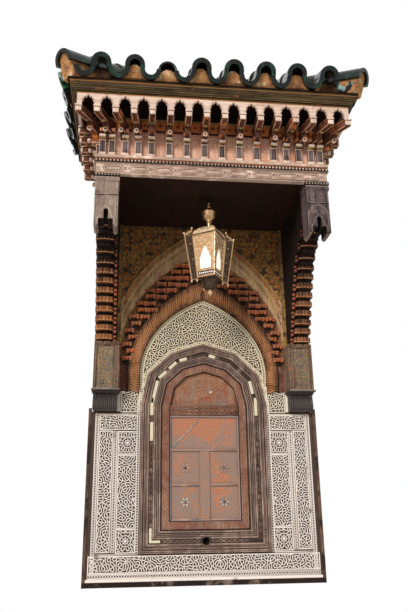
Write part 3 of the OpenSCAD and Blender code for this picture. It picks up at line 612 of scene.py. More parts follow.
def apply_place(item):
    only(item)
    bpy.ops.object.transform_apply(location=True, rotation=True, scale=True)
    return item


def outward(item):
    """Merges doubles and turns every face outwards."""
    only(item)
    bpy.ops.object.mode_set(mode="EDIT")
    bpy.ops.mesh.select_all(action="SELECT")
    bpy.ops.mesh.remove_doubles(threshold=0.00001)
    bpy.ops.mesh.normals_make_consistent(inside=False)
    bpy.ops.object.mode_set(mode="OBJECT")
    return item


def paint(item, *names):
    item.data.materials.clear()
    for name in names:
        item.data.materials.append(finish(name))
    return item


def smooth(item, angle=40):
    only(item)
    bpy.ops.object.shade_smooth_by_angle(angle=radians(angle))
    return item


def put_piece(item, tone, name, slot, body="bay", replaces=()):
    """Paints and names a finished piece, and makes it ride on its body."""
    if tone:
        paint(item, tone)
    item.name = item.data.name = name
    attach(item, body)
    if replaces:
        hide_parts(*replaces)
    return item


def block(low, high, chamfer=0):
    """A board with its edges eased."""
    centre = [(a + b) / 2 for a, b in zip(low, high)]
    bpy.ops.mesh.primitive_cube_add(size=1, location=centre, scale=[b - a for a, b in zip(low, high)])
    item = apply_place(bpy.context.active_object)
    if chamfer:
        bpy.ops.object.mode_set(mode="EDIT")
        bpy.ops.mesh.select_all(action="SELECT")
        bpy.ops.mesh.bevel(offset=chamfer, segments=1, affect="EDGES")
        bpy.ops.object.mode_set(mode="OBJECT")
    return item


def turned(angle, axis):
    return Matrix.Rotation(angle, 4, axis)


AXES = {"facade": lambda u, v, w: (u, -w, v), "plan": lambda u, v, w: (u, v, w),
    "side": lambda u, v, w: (w, -u, v)}


VIEW_TURNS = {"facade": turned(pi / 2, "X"), "plan": Matrix.Identity(4),
    "side": turned(-pi / 2, "Z") @ turned(pi / 2, "X")}


def draw(item, lines, closed):
    """Fills a curve with lines; a point is two coordinates and, if it tapers, its share of the radius."""
    item.data.dimensions = "2D"
    item.data.fill_mode = "NONE"
    item.data.splines.clear()
    for line in lines:
        spline = item.data.splines.new("POLY")
        spline.points.add(len(line) - 1)
        for point, drawn in zip(spline.points, line):
            point.co = (drawn[0], drawn[1], 0, 1)
            point.radius = drawn[2] if len(drawn) > 2 else 1
        spline.use_cyclic_u = closed


def plate(outline, back, front, view="facade", steps=()):
    """A shape drawn on the facade, in plan or from the side, extruded from back to front.

    steps are the insets that then mould its front face, each as width and rise.
    """
    turn = AXES[view]
    bpy.ops.mesh.primitive_circle_add(vertices=len(outline), fill_type="NGON")
    item = apply_place(bpy.context.active_object)
    for vertex, (u, v) in zip(item.data.vertices, outline):
        vertex.co = turn(u, v, back)
    bpy.ops.object.mode_set(mode="EDIT")
    bpy.ops.mesh.select_all(action="SELECT")
    move = Vector(turn(0, 0, front)) - Vector(turn(0, 0, back))
    bpy.ops.mesh.extrude_region_move(TRANSFORM_OT_translate={"value": move})
    bpy.ops.mesh.select_all(action="SELECT")
    bpy.ops.mesh.normals_make_consistent(inside=False)
    bpy.ops.mesh.select_all(action="DESELECT")
    mesh = bmesh.from_edit_mesh(item.data)
    mesh.faces.ensure_lookup_table()
    top = max(mesh.faces, key=lambda f: f.calc_center_median().dot(move) + f.normal.dot(move.normalized()))
    top.select_set(True)
    bmesh.update_edit_mesh(item.data)
    for width, rise in steps:
        if width:
            bpy.ops.mesh.inset(thickness=width, depth=rise, use_even_offset=True)
        else:
            bpy.ops.mesh.extrude_region_move(TRANSFORM_OT_translate={"value": move.normalized() * rise})
    bpy.ops.object.mode_set(mode="OBJECT")
    return item


def strand(lines, radius, out, closed=False, round_steps=0, view="facade", flat=False):
    """Ribs with a ridged, round or flat-topped section along lines drawn on a plane out from the wall."""
    bpy.ops.curve.primitive_bezier_curve_add()
    item = bpy.context.active_object
    draw(item, lines, closed)
    curve = item.data
    section = None
    if flat:
        bpy.ops.curve.primitive_bezier_curve_add()
        section = bpy.context.active_object
        shape = ((-1, -0.3), (1, -0.3), (0.62, 0.9), (-0.62, 0.9))
        draw(section, [[(u * radius, v * radius) for u, v in shape]], True)
        curve.bevel_mode = "OBJECT"
        curve.bevel_object = section
    else:
        curve.bevel_depth = radius
        curve.bevel_resolution = round_steps
    curve.use_fill_caps = not closed
    only(item)
    bpy.ops.object.convert(target="MESH")
    item = bpy.context.active_object
    if section:
        bpy.data.objects.remove(section)
    shift_out = {"facade": (0, -out, 0), "plan": (0, 0, out), "side": (out, 0, 0)}[view]
    item.matrix_world = Matrix.Translation(shift_out) @ VIEW_TURNS[view]
    apply_place(item)
    return outward(item)


def labyrinth(tests, box, pitch, radius, out, rng, mirror=True, flat=True):
    """Winding ribs, the same left and right, that fill the part of a box that passes the tests."""
    x0, z0, x1, z1 = box
    middle = (x0 + x1) / 2
    number = pi / pitch * 0.92
    waves = [(cos(a), sin(a), rng.uniform(0, tau)) for a in (pi * (k + rng.uniform(0.1, 0.9)) / 12
        for k in range(12))]
    columns, rows = max(4, round((x1 - x0) / pitch * 3)), max(4, round((z1 - z0) / pitch * 3))
    wide, high = (x1 - x0) / columns, (z1 - z0) / rows
    value = {}
    for i in range(columns + 1):
        for j in range(rows + 1):
            x, z = x0 + i * wide - middle, z0 + j * high
            value[i, j] = sum(cos(number * x * c) * cos(number * z * s + p) if mirror
                else cos(number * (x * c + z * s) + p) for c, s, p in waves)
    spots, links = {}, {}
    for i in range(columns):
        for j in range(rows):
            if not all(test(x0 + (i + 0.5) * wide, z0 + (j + 0.5) * high) for test in tests):
                continue
            corners = ((i, j), (i + 1, j), (i + 1, j + 1), (i, j + 1))
            hits = []
            for a, b in zip(corners, corners[1:] + corners[:1]):
                if (value[a] > 0) != (value[b] > 0):
                    a, b = min(a, b), max(a, b)
                    t = value[a] / (value[a] - value[b])
                    spots[a, b] = (x0 + (a[0] + (b[0] - a[0]) * t) * wide,
                        z0 + (a[1] + (b[1] - a[1]) * t) * high)
                    hits.append((a, b))
            for p, q in zip(hits[::2], hits[1::2]):
                links.setdefault(p, []).append(q)
                links.setdefault(q, []).append(p)
    lines, seen = [], set()
    for start in sorted(links, key=lambda p: (len(links[p]) > 1, p)):
        if start in seen:
            continue
        line, here = [], start
        while here is not None:
            seen.add(here)
            line.append(spots[here])
            here = next((n for n in links[here] if n not in seen), None)
        if len(links[start]) > 1 and len(line) > 5:
            line.append(line[0])
        if len(line) > 2:
            lines.append(line)
    return strand(lines, radius, out, flat=flat)


def lathe(profile, centre, steps=24):
    """Turns a closed or axis-to-axis profile of radius and height about an upright axis."""
    bpy.ops.mesh.primitive_circle_add(vertices=len(profile), fill_type="NOTHING", location=centre)
    item = apply_place(bpy.context.active_object)
    for vertex, (radius, height) in zip(item.data.vertices, profile):
        vertex.co = (centre[0] + radius, centre[1], height)
    on_axis = profile[0][0] == 0 and profile[-1][0] == 0
    bpy.ops.object.mode_set(mode="EDIT")
    if on_axis:
        bpy.ops.mesh.select_all(action="DESELECT")
        mesh = bmesh.from_edit_mesh(item.data)
        for edge in mesh.edges:
            edge.select_set(all(abs(v.co.x - centre[0]) < 1e-7 for v in edge.verts))
        bmesh.update_edit_mesh(item.data)
        bpy.ops.mesh.delete(type="EDGE_FACE")
    bpy.ops.mesh.select_all(action="SELECT")
    bpy.ops.mesh.spin(steps=steps, angle=tau, center=centre, axis=(0, 0, 1))
    bpy.ops.object.mode_set(mode="OBJECT")
    return outward(item)


def copies(unit, places):
    """Copies a unit to each place, each copy with its own mesh, and joins the copies."""
    made = []
    for where in places:
        twin = unit.copy()
        twin.data = unit.data.copy()
        twin.data.transform(where)
        if where.determinant() < 0:
            twin.data.flip_normals()
        bpy.context.scene.collection.objects.link(twin)
        made.append(twin)
    bpy.data.objects.remove(unit)
    return join(*made)


def join(*items):
    only(*items)
    if len(items) > 1:
        bpy.ops.object.join()
    return bpy.context.active_object


def at(x, z, out=0, turn=0, scale=1, flip=False):
    """Place on the facade for a unit modelled round the origin."""
    spin = turned(-turn, "Y")
    grow = Matrix.Diagonal((-scale if flip else scale, scale, scale, 1))
    return Matrix.Translation((x, -out, z)) @ spin @ grow


def both_sides(item):
    """A piece and its mirror image."""
    return copies(item, (Matrix.Identity(4), MIRROR))


def mirror_of(item):
    return copies(item.copy(), (MIRROR,))


# Lines


def arch_half(z, line):
    w, spring, rise = line
    t = z - spring
    if t <= 0:
        return w
    radius = (w * w + rise * rise) / (2 * w)
    return max(0, w - radius + sqrt(max(0, radius * radius - t * t)) + ARCH_FULLNESS * sin(pi * t / rise))


def shift(points, distance, closed=False):
    """The line moved to its left by a distance, mitred at its corners."""
    out = []
    n = len(points)
    for i, (x, z) in enumerate(points):
        before = points[i - 1] if i or closed else None
        after = points[(i + 1) % n] if i < n - 1 or closed else None
        ways = []
        for a, b in ((before, (x, z)), ((x, z), after)):
            if a and b:
                d = hypot(b[0] - a[0], b[1] - a[1]) or 1
                ways.append(((a[1] - b[1]) / d, (b[0] - a[0]) / d))
        nx = sum(w[0] for w in ways) / len(ways)
        nz = sum(w[1] for w in ways) / len(ways)
        k = distance / max(0.2, nx * nx + nz * nz)
        out.append((x + nx * k, z + nz * k))
    return out


def arch_line(line, foot, inset=0, steps=20):
    """From the right foot over the crown to the left foot."""
    spring, rise = line[1], line[2]
    side = [(arch_half(spring + rise * i / steps, line), spring + rise * i / steps) for i in range(steps + 1)]
    if foot < spring:
        side.insert(0, (line[0], foot))
    return shift(side + [(-x, z) for x, z in reversed(side[:-1])], inset)


def frame_path(inset, foot=True):
    """The window frame's outline, anticlockwise from the lower right corner."""
    right = [(FRAME_HALF * a, FRAME_SPRING + HEAD_RISE * b) for a, b in HEAD_CORNERS]
    left = [(-x, z) for x, z in reversed(right[:-1])]
    return shift([(FRAME_HALF, FRAME_FOOT)] + right + left + [(-FRAME_HALF, FRAME_FOOT)], inset, foot)


def levels(x0, x1, *heights):
    return [[(x0, z), (x1, z)] for z in heights]


def uprights(z0, z1, *places):
    return [[(x, z0), (x, z1)] for x in places]


def rect(x0, z0, x1, z1):
    return [(x0, z0), (x1, z0), (x1, z1), (x0, z1)]


def ring(x, z, r, steps=16):
    return [(x + r * cos(tau * i / steps), z + r * sin(tau * i / steps)) for i in range(steps)]


def star(x, z, outer, inner, points=8, turn=0):
    return [(x + (inner if i % 2 else outer) * cos(turn + pi * i / points),
        z + (inner if i % 2 else outer) * sin(turn + pi * i / points)) for i in range(2 * points)]


def along(line, pitch, closed=False, start=0.5):
    """Evenly spaced places on a line, each x, z and direction."""
    points = line + line[:1] if closed else line
    parts = list(zip(points, points[1:]))
    total = sum(dist(a, b) for a, b in parts)
    count = max(1, round(total / pitch))
    out = []
    run, target = 0, total / count * start
    for a, b in parts:
        length = dist(a, b)
        while length and target <= run + length + 1e-9 and len(out) < count:
            t = (target - run) / length
            out.append((a[0] + (b[0] - a[0]) * t, a[1] + (b[1] - a[1]) * t, atan2(b[1] - a[1], b[0] - a[0])))
            target += total / count
        run += length
    return out


def wave(line, reach, pitch, closed=False, phase=0, fine=8):
    """A line that swings from side to side of another."""
    spots = along(line, pitch / fine, closed, 0)
    swing = [reach * sin(tau * i / fine + phase) for i in range(len(spots))]
    return [(x - sin(a) * s, z + cos(a) * s) for (x, z, a), s in zip(spots, swing)]


def braid(line, reach, pitch, radius, out, closed=False):
    """Two strands that cross each other along a line."""
    return strand([wave(line, reach, pitch, closed, phase) for phase in (0, pi)], radius, out, closed)


def gap(line, x, z):
    """Distance from a point to a line."""
    best = 9
    for (ax, az), (bx, bz) in zip(line, line[1:]):
        dx, dz = bx - ax, bz - az
        t = max(0, min(1, ((x - ax) * dx + (z - az) * dz) / (dx * dx + dz * dz or 1)))
        best = min(best, hypot(ax + dx * t - x, az + dz * t - z))
    return best


def leaf(x, z, length, turn, width=1, curl=0):
    """A tapered leaf that starts at a point."""
    out = []
    for i in range(5):
        t = i / 4
        a = turn + curl * t
        out.append((x + length * t * cos(a), z + length * t * sin(a), width * (0.25, 0.9, 1, 0.7, 0.1)[i]))
    return out


def scroll(x, z, size_, turn, flip=1, steps=11):
    """A spiral with its tail."""
    out = []
    for i in range(steps):
        t = i / (steps - 1)
        r = size_ * (1 - 0.78 * t)
        a = turn + flip * 4.6 * t
        out.append((x + r * cos(a), z + r * sin(a), 0.55 + 0.45 * sin(pi * min(1, t + 0.2))))
    return out


def rope_bead(length, thick, lean=0.9):
    """One strand of a twisted rope, leaning across it."""
    bpy.ops.mesh.primitive_ico_sphere_add(subdivisions=1, radius=1)
    item = bpy.context.active_object
    item.scale = (thick * 0.42, thick * 0.55, length)
    item.rotation_euler = (0, lean, 0)
    return smooth(apply_place(item), 60)


def rope(line, thick, out, closed=False, pitch=None, fill=0.62):
    """A twisted rope along a line on the facade."""
    bead = rope_bead(thick * fill, thick)
    return copies(bead, [at(x, z, out, a) for x, z, a in along(line, pitch or size().rope, closed)])


# The plaster panel


def shoulder_line():
    """The hollow curve over the plaster's right shoulder."""
    return [(0.652 - 0.143 * t, 1.404 + 0.062 * t ** 1.7) for t in (i / 6 for i in range(7))]


def carve_plaster():
    put = partial(put_piece, slot="plaster")
    s = size()
    rng = random.Random(s.seed)
    rib = s.rib
    bands = [rect(-0.858, 0.097, 0.858, 0.208)]
    right = [rect(0.711, 0.238, 0.807, 1.112), rect(0.524, 0.232, 0.664, 0.392),
        rect(0.524, 0.402, 0.664, 0.93), rect(0.524, 0.94, 0.664, 1.108), rect(0.524, 1.126, 0.807, 1.236),
        [(0.511, 1.262), (0.652, 1.262)] + shoulder_line()]
    left = [[(-x, z) for x, z in reversed(line)] for line in right]
    put(strand(bands + right + left, rib * 1.15, PLASTER, True, flat=True), "plaster_plain",
        "plaster_fillets")

    arch = arch_line(PLASTER_ARCH, 1.262)
    lines = [frame_path(-0.007, False), frame_path(-0.027, False)] + [shift(arch, d) for d in (0.006, 0.031)]
    sides = uprights(0.088, 1.24, 0.818, 0.843) + uprights(0.232, 1.115, 0.675, 0.699)
    sides += [[(0.511, 1.245), (0.845, 1.245)], [(0.52, 0.22), (0.812, 0.22)]]
    lines += sides + [[(-x, z) for x, z in line] for line in sides]
    lines += levels(-0.862, 0.862, 0.06, 0.088)
    put(strand(lines, rib * 0.86, PLASTER, flat=True), "plaster_plain", "plaster_borders")

    bar = plate(rect(-0.874, 0.036, 0.874, 0.056), PLASTER - 0.004, PLASTER + 0.006, steps=((0.003, 0.003),))
    put(bar, "plaster_plain", "plaster_foot_moulding")

    bpy.ops.mesh.primitive_torus_add(major_segments=8, minor_segments=4, major_radius=0.0088,
        minor_radius=0.0028, rotation=(pi / 2, 0, 0))
    link = smooth(apply_place(bpy.context.active_object), 80)
    runs = [[(-0.862, 0.074), (0.862, 0.074)], [(0.8305, 0.088), (0.8305, 1.24)],
        [(-0.8305, 0.088), (-0.8305, 1.24)], [(0.687, 0.236), (0.687, 1.11)],
        [(-0.687, 0.236), (-0.687, 1.11)], frame_path(-0.0165, False), shift(arch, 0.018)]
    spots = [spot for run in runs for spot in along(run, s.chain)]
    chain = copies(link, [at(x, z, PLASTER + 0.001, a) for x, z, a in spots])
    put(chain, "plaster_rib", "plaster_chains")

    def carving(name, box, tests=(), pitch=s.meander, thick=rib, pair=True, mirror=False):
        item = labyrinth(tests, box, pitch, thick, PLASTER, rng, mirror)
        if pair:
            item = both_sides(item)
        return put(item, "plaster_rib", name)

    carving("plaster_foot_band", (-0.85, 0.103, 0.85, 0.203), pair=False)
    carving("plaster_outer_bands", (0.717, 0.244, 0.801, 1.106))
    carving("plaster_inner_bands", (0.53, 0.409, 0.658, 0.923))
    carving("plaster_top_bands", (0.53, 1.132, 0.801, 1.23))

    def in_shoulder(x, z):
        return z < 1.395 + 0.06 * max(0, (0.652 - x) / 0.143) ** 1.7 and x > 0.52
    carving("plaster_shoulders", (0.518, 1.27, 0.645, 1.44), (in_shoulder,))

    outside = frame_path(-0.027, False)

    def in_arch(x, z):
        inner = frame_path_half(z)
        clear = gap(arch, x, z) > 0.039 and gap(outside, x, z) > 0.008
        return inner - 0.0001 < abs(x) < arch_half(z, PLASTER_ARCH) and clear
    crown = PLASTER_ARCH[1] + PLASTER_ARCH[2]
    filler = both_sides(block((0.648, -PLASTER + 0.003, 1.262), (0.705, 0, 1.4235)))
    put(filler, "plaster_plain", "plaster_shoulder_edges")
    carving("plaster_arch_carving", (-0.504, 1.3, 0.504, crown), (in_arch,), s.meander * 1.06, rib * 1.04,
        pair=False)

    # medallions: two rings and petals round a boss, in a carved square
    rings, petals, bosses = [], [], []
    for name, z, reach in (("low", 0.312, 0.073), ("high", 1.024, 0.077)):
        rings += [ring(MEDALLION_X, z, 0.039, 20), ring(MEDALLION_X, z, 0.019, 14)]
        petals += [leaf(MEDALLION_X + 0.021 * cos(a), z + 0.021 * sin(a), 0.014, a, 0.9)
            for a in (tau * k / 8 for k in range(8))]
        bosses.append(plate(ring(MEDALLION_X, z, 0.011, 10), PLASTER - 0.002, PLASTER + 0.004,
            steps=((0.004, 0.003),)))
        carving("plaster_square_" + name, (0.53, z - reach, 0.658, z + reach),
            (lambda u, v, z=z: hypot(u - MEDALLION_X, v - z) > 0.046,), mirror=True)
    medallion = join(strand(rings, rib * 0.9, PLASTER, True, flat=True), strand(petals, rib, PLASTER),
        *bosses)
    put(both_sides(medallion), "plaster_rib", "plaster_medallions")


def frame_path_half(z):
    """Half width of the window frame at a height, a little outside it."""
    corners = [(FRAME_HALF, 0)] + [(FRAME_HALF * a, FRAME_SPRING + HEAD_RISE * b) for a, b in HEAD_CORNERS]
    for (xa, za), (xb, zb) in zip(corners, corners[1:]):
        if za <= z <= zb:
            return xa + (xb - xa) * (z - za) / (zb - za)
    return 0


# The window


KNOT_HEIGHTS = (0.415, 0.615, 0.815, 1.01, 1.2065, 1.4)
INLAY_X = 0.4125
SLOT_HEIGHT = 0.305
ROSETTE_X = 0.1485
ROSETTE_HEIGHTS = (0.58, 0.832)


def carve_frame():
    put = partial(put_piece, slot="frame_wood")
    s = size()
    loops = ((0.006, 0.0055, 0.052), (0.017, 0.0045, 0.062), (0.034, 0.003, 0.062), (0.06, 0.0055, 0.062),
        (0.105, 0.0055, 0.058), (0.122, 0.003, 0.058), (0.134, 0.003, 0.058), (0.149, 0.0055, 0.058))

    def loop(inset, radius, out):
        """A moulding round the frame; where it meets the round slot of the sill it stops on both sides."""
        if not 0.05 < inset < 0.115:
            return strand([frame_path(inset)], radius, out, True, 1)
        z = FRAME_FOOT + inset
        return strand([[(0.037, z)] + frame_path(inset) + [(-0.037, z)]], radius, out, round_steps=1)
    put(smooth(join(*[loop(*values) for values in loops])), "frame_ridge", "frame_mouldings")
    # The grooves are black strands: painted shade in the frame's grooves.
    rows = ((0.0255, 0.0625), (0.128, 0.0585), (0.141, 0.0585))
    grooves = join(*[strand([frame_path(inset)], 0.0022, out, True) for inset, out in rows])
    put(grooves, "soot", "frame_grooves")

    groove = frame_path(0.083)
    pieces, dull = [], []
    straight = [(a + 0.026, b - 0.026) for a, b in zip((0.33,) + KNOT_HEIGHTS, KNOT_HEIGHTS + (1.361,))]
    for side in (1, -1):
        x = side * INLAY_X
        for k, (low, high) in enumerate(straight):
            if k >= 5 or (side < 0 and k == 4):
                if high - low > 0.02:
                    pieces.append(rect(x - 0.0125, low, x + 0.0125, high))
            else:
                dull.append([(x, low), (x, high)])
    knots = [(side * INLAY_X, z) for side in (1, -1) for z in KNOT_HEIGHTS[:-1]]
    # on the head: knots halfway along four of its six sides, then the inlay left, as side, start and end
    sides = list(zip(groove[1:7], groove[2:8]))
    for (ax, az), (bx, bz) in sides[1:5]:
        knots.append(((ax + bx) / 2, (az + bz) / 2))
    for k, start, end in ((0, 0.45, 0.94), (2, 0.56, 0.8), (3, 0.64, 0.92), (4, 0.06, 0.42), (4, 0.58, 0.95),
            (5, 0.08, 0.92)):
        (ax, az), (bx, bz) = sides[k]
        way = Vector((bx - ax, bz - az))
        across = Vector((-way.y, way.x)).normalized() * 0.0125
        a, b = (Vector((ax, az)) + way * share for share in (start, end))
        pieces.append([tuple(a - across), tuple(b - across), tuple(b + across), tuple(a + across)])
    pieces.append([(-0.422, 0.296), (-0.34, 0.296), (-0.34, 0.314), (-0.403, 0.314), (-0.403, 0.4),
        (-0.422, 0.4)])
    bone = join(*[plate(line, INNER_OUT, 0.0545, steps=((0.0015, 0.001),)) for line in pieces])
    put(bone, "bone", "bone_inlay")
    studs = [ring(x, low + (high - low) * t, 0.0035, 6) for (x, low), (_, high) in dull
        for t in (0.2, 0.5, 0.8)]
    edges = [[(x + d, z) for x, z in line] for line in dull for d in (-0.01, 0.01)]
    worn = join(strand(edges, 0.0022, 0.052), *[plate(line, INNER_OUT, 0.054) for line in studs])
    put(worn, "frame_ridge", "worn_inlay")

    petals = [ring(0.01 * cos(pi / 2 * k), 0.01 * sin(pi / 2 * k), 0.0088, 10) for k in range(4)]
    outline = strand(petals, 0.0022, 0.004, True)
    heart = plate(star(0, 0, 0.014, 0.008, 4), 0, 0.0035)
    unit = join(paint(outline, "frame_ridge"), paint(heart, "soot"))
    put(copies(unit, [at(x, z, INNER_OUT) for x, z in knots]), None, "inlay_knots")

    lines = [[(side * 0.045, SLOT_HEIGHT), (side * 0.335, SLOT_HEIGHT)] for side in (1, -1)]
    weave = join(*[braid(line, 0.01, 0.085, 0.0028, 0.052) for line in lines])
    put(weave, "frame_ridge", "sill_interlace")
    rim = strand([ring(0, SLOT_HEIGHT, 0.0315, 24)], 0.0032, 0.053, True)
    put(rim, "frame_wood_dark", "slot_rim")
    # A black disc behind the round slot: painted shade in the hole.
    put(plate(ring(0, SLOT_HEIGHT, 0.036, 24), 0.0005, 0.003), "soot", "slot_backing")

    middle = frame_path(0.192)
    red = [braid(middle, 0.013, 0.07, s.ridge * 0.9, INNER_OUT, True),
        strand([frame_path(0.17), frame_path(0.214)], 0.0038, INNER_OUT, True)]
    bud = strand([leaf(-0.016, 0, 0.018, 0), leaf(0.016, 0, 0.018, pi), ring(0, 0, 0.005, 6)], 0.0026, 0)
    red.append(copies(bud, [at(x, z, INNER_OUT, a) for x, z, a in along(middle, 0.07, True)]))
    put(join(*red), "inner_ridge", "inner_frame_carving", slot="carved_wood")
    # Black strands in the inner frame's grooves: painted shade.
    put(strand([frame_path(0.163), frame_path(0.2235)], 0.003, INNER_OUT, True), "soot",
        "inner_frame_grooves", slot="carved_wood")


def carve_lunette():
    put = partial(put_piece, slot="carved_wood")
    s = size()
    rng = random.Random(s.seed + 5)
    cx, cz = 0, 1.338
    fans = []
    for count, r0, r1, width in ((13, 0.03, 0.104, 1), (21, 0.122, 0.176, 0.8)):
        for k in range(count):
            a = pi * (k + 0.5) / count
            fans.append(leaf(cx + r0 * cos(a), cz + r0 * sin(a), r1 - r0, a, width))
    shell = [strand(fans, 0.0052, PANEL_OUT)]
    arcs = [[(cx + r * cos(pi * i / 20), cz + r * sin(pi * i / 20)) for i in range(21)]
        for r in (0.022, 0.112, 0.184)]
    shell.append(strand(arcs, 0.0034, PANEL_OUT))

    def outside(x, z):
        return hypot(x - cx, z - cz) > 0.192 and abs(x) < frame_path_half(z) - 0.246
    shell.append(labyrinth((outside,), (-0.245, 1.325, 0.245, 1.575), s.meander * 0.8, 0.0036, PANEL_OUT,
        rng))
    inner = frame_path(0.232)[2:-2]
    shell.append(strand([[(0.262, 1.32)] + inner + [(-0.262, 1.32)]], 0.0045, 0.029))
    put(join(*shell), "lunette_ridge", "lunette_shell")
    put(plate(star(0.055, 1.422, 0.012, 0.007, 5), PANEL_OUT, 0.034), "bone", "lunette_chip")

    rail = [braid([(-0.262, 1.273), (0.262, 1.273)], 0.014, 0.08, 0.003, 0.046),
        strand(levels(-0.27, 0.27, 1.243, 1.25, 1.297, 1.304), 0.0026, 0.046)]
    put(join(*rail), "inner_ridge", "transom_carving", slot="frame_wood")


def carve_shutter():
    put = partial(put_piece, slot="shutter_paint")
    s = size()
    rng = random.Random(s.seed + 3)
    put(strand([rect(-0.266, 0.45, 0.266, 1.227)], 0.006, 0.038, True, 1), "shutter_edge", "shutter_moulding",
        slot="frame_wood")
    borders, fields = [rect(-0.252, 0.984, 0.252, 1.218)], []
    for z0, z1 in ((0.464, 0.696), (0.716, 0.948)):
        for side in (1, -1):
            x0, x1 = sorted((side * 0.045, side * 0.252))
            borders.append(rect(x0, z0, x1, z1))
            fields.append((x0 + 0.008, z0 + 0.008, x1 - 0.008, z1 - 0.008))
    put(strand(borders, 0.0026, PANEL_OUT, True), "shutter_edge", "panel_borders")
    rails = [[(-0.25, 0.966), (0.25, 0.966)]]
    rails += [[(side * 0.05, z), (side * 0.25, z)] for side in (1, -1) for z in (0.706, 0.457)]
    put(strand(rails, 0.0055, 0.0365, flat=True), "shutter_edge", "shutter_rails", slot="frame_wood")

    pitch = s.meander
    top = labyrinth((), (-0.246, 0.99, 0.246, 1.212), pitch, 0.0021, PANEL_OUT, rng)
    panels = []
    for x0, z0, x1, z1 in fields:
        middle = ((x0 + x1) / 2, (z0 + z1) / 2)
        panels.append(labyrinth((lambda x, z, m=middle: hypot(x - m[0], z - m[1]) > 0.054,), (x0, z0, x1, z1),
            pitch, 0.002, PANEL_OUT, rng))
    strip = labyrinth((), (-0.036, 0.462, 0.036, 0.95), pitch, 0.0019, 0.038, rng)
    put(join(top, *panels, strip), "orange_ridge", "shutter_ornament")

    put(strand([[(-0.248, 0.99), (-0.055, 1.185)]], 0.0042, 0.0305, flat=True), "petal", "top_panel_diagonal")
    petals = [leaf(0.01 * cos(tau * k / 6), 0.01 * sin(tau * k / 6), 0.032, tau * k / 6, 1.7)
        for k in range(6)]
    for name, z, tone in (("low", 0.58, "petal"), ("high", 0.832, "shutter_edge")):
        spots = [at(side * ROSETTE_X, z, 0.0285) for side in (1, -1)]
        put(copies(strand(petals, 0.0052, 0), spots), tone, "shutter_rosettes_" + name)
    spots = [at(side * ROSETTE_X, z, 0.0285) for side in (1, -1) for z in ROSETTE_HEIGHTS]
    put(copies(strand([ring(0, 0, 0.051, 20)], 0.0024, 0, True), spots), "orange_ridge", "shutter_rings")
    put(copies(plate(ring(0, 0, 0.009, 8), 0, 0.004, steps=((0.002, 0.001),)), spots), "frame_wood_dark",
        "rosette_hearts")


def stalactite_cell(wide, high):
    """One cell: three blunt leaves over a niche painted black as its shade."""
    half = wide / 2 - 0.003
    body = plate(rect(-half, 0, half, high), 0, 0.022)
    niche = plate([(-half * 0.84, high * 0.03), (half * 0.84, high * 0.03), (half * 0.84, high * 0.4),
        (half * 0.4, high * 0.6), (-half * 0.4, high * 0.6), (-half * 0.84, high * 0.4)], 0.02, 0.024)
    leaves = []
    for k in (-1, 0, 1):
        x, w = k * wide * 0.32, wide * 0.15
        drop = high * (0.7 if k == 0 else 0.62)
        outline = [(x - w, high), (x - w, drop), (x - w * 0.45, drop - high * 0.13),
            (x + w * 0.45, drop - high * 0.13), (x + w, drop), (x + w, high)]
        leaves.append(plate(outline, 0.02, 0.05 if k == 0 else 0.041, steps=((0.003, 0.003),)))
    ledge = block((-half, -0.052, high * 0.92), (half, -0.02, high), 0.002)
    return join(*[paint(item, "cell") for item in leaves], paint(ledge, "cell_tip"), paint(body, "cell_body"),
        paint(niche, "soot"))


# The arch over the plaster


def band_piece(outer, inner, out, foot, back=0.018, steps=()):
    """The right half of a band between two arch lines."""
    def half(line):
        z0, z1 = foot, line[1] + line[2]
        return [(min(PILASTER_IN, arch_half(z0 + (z1 - z0) * i / 20, line)), z0 + (z1 - z0) * i / 20)
            for i in range(21)]
    return plate(half(outer) + list(reversed(half(inner))), back, out, steps=steps)


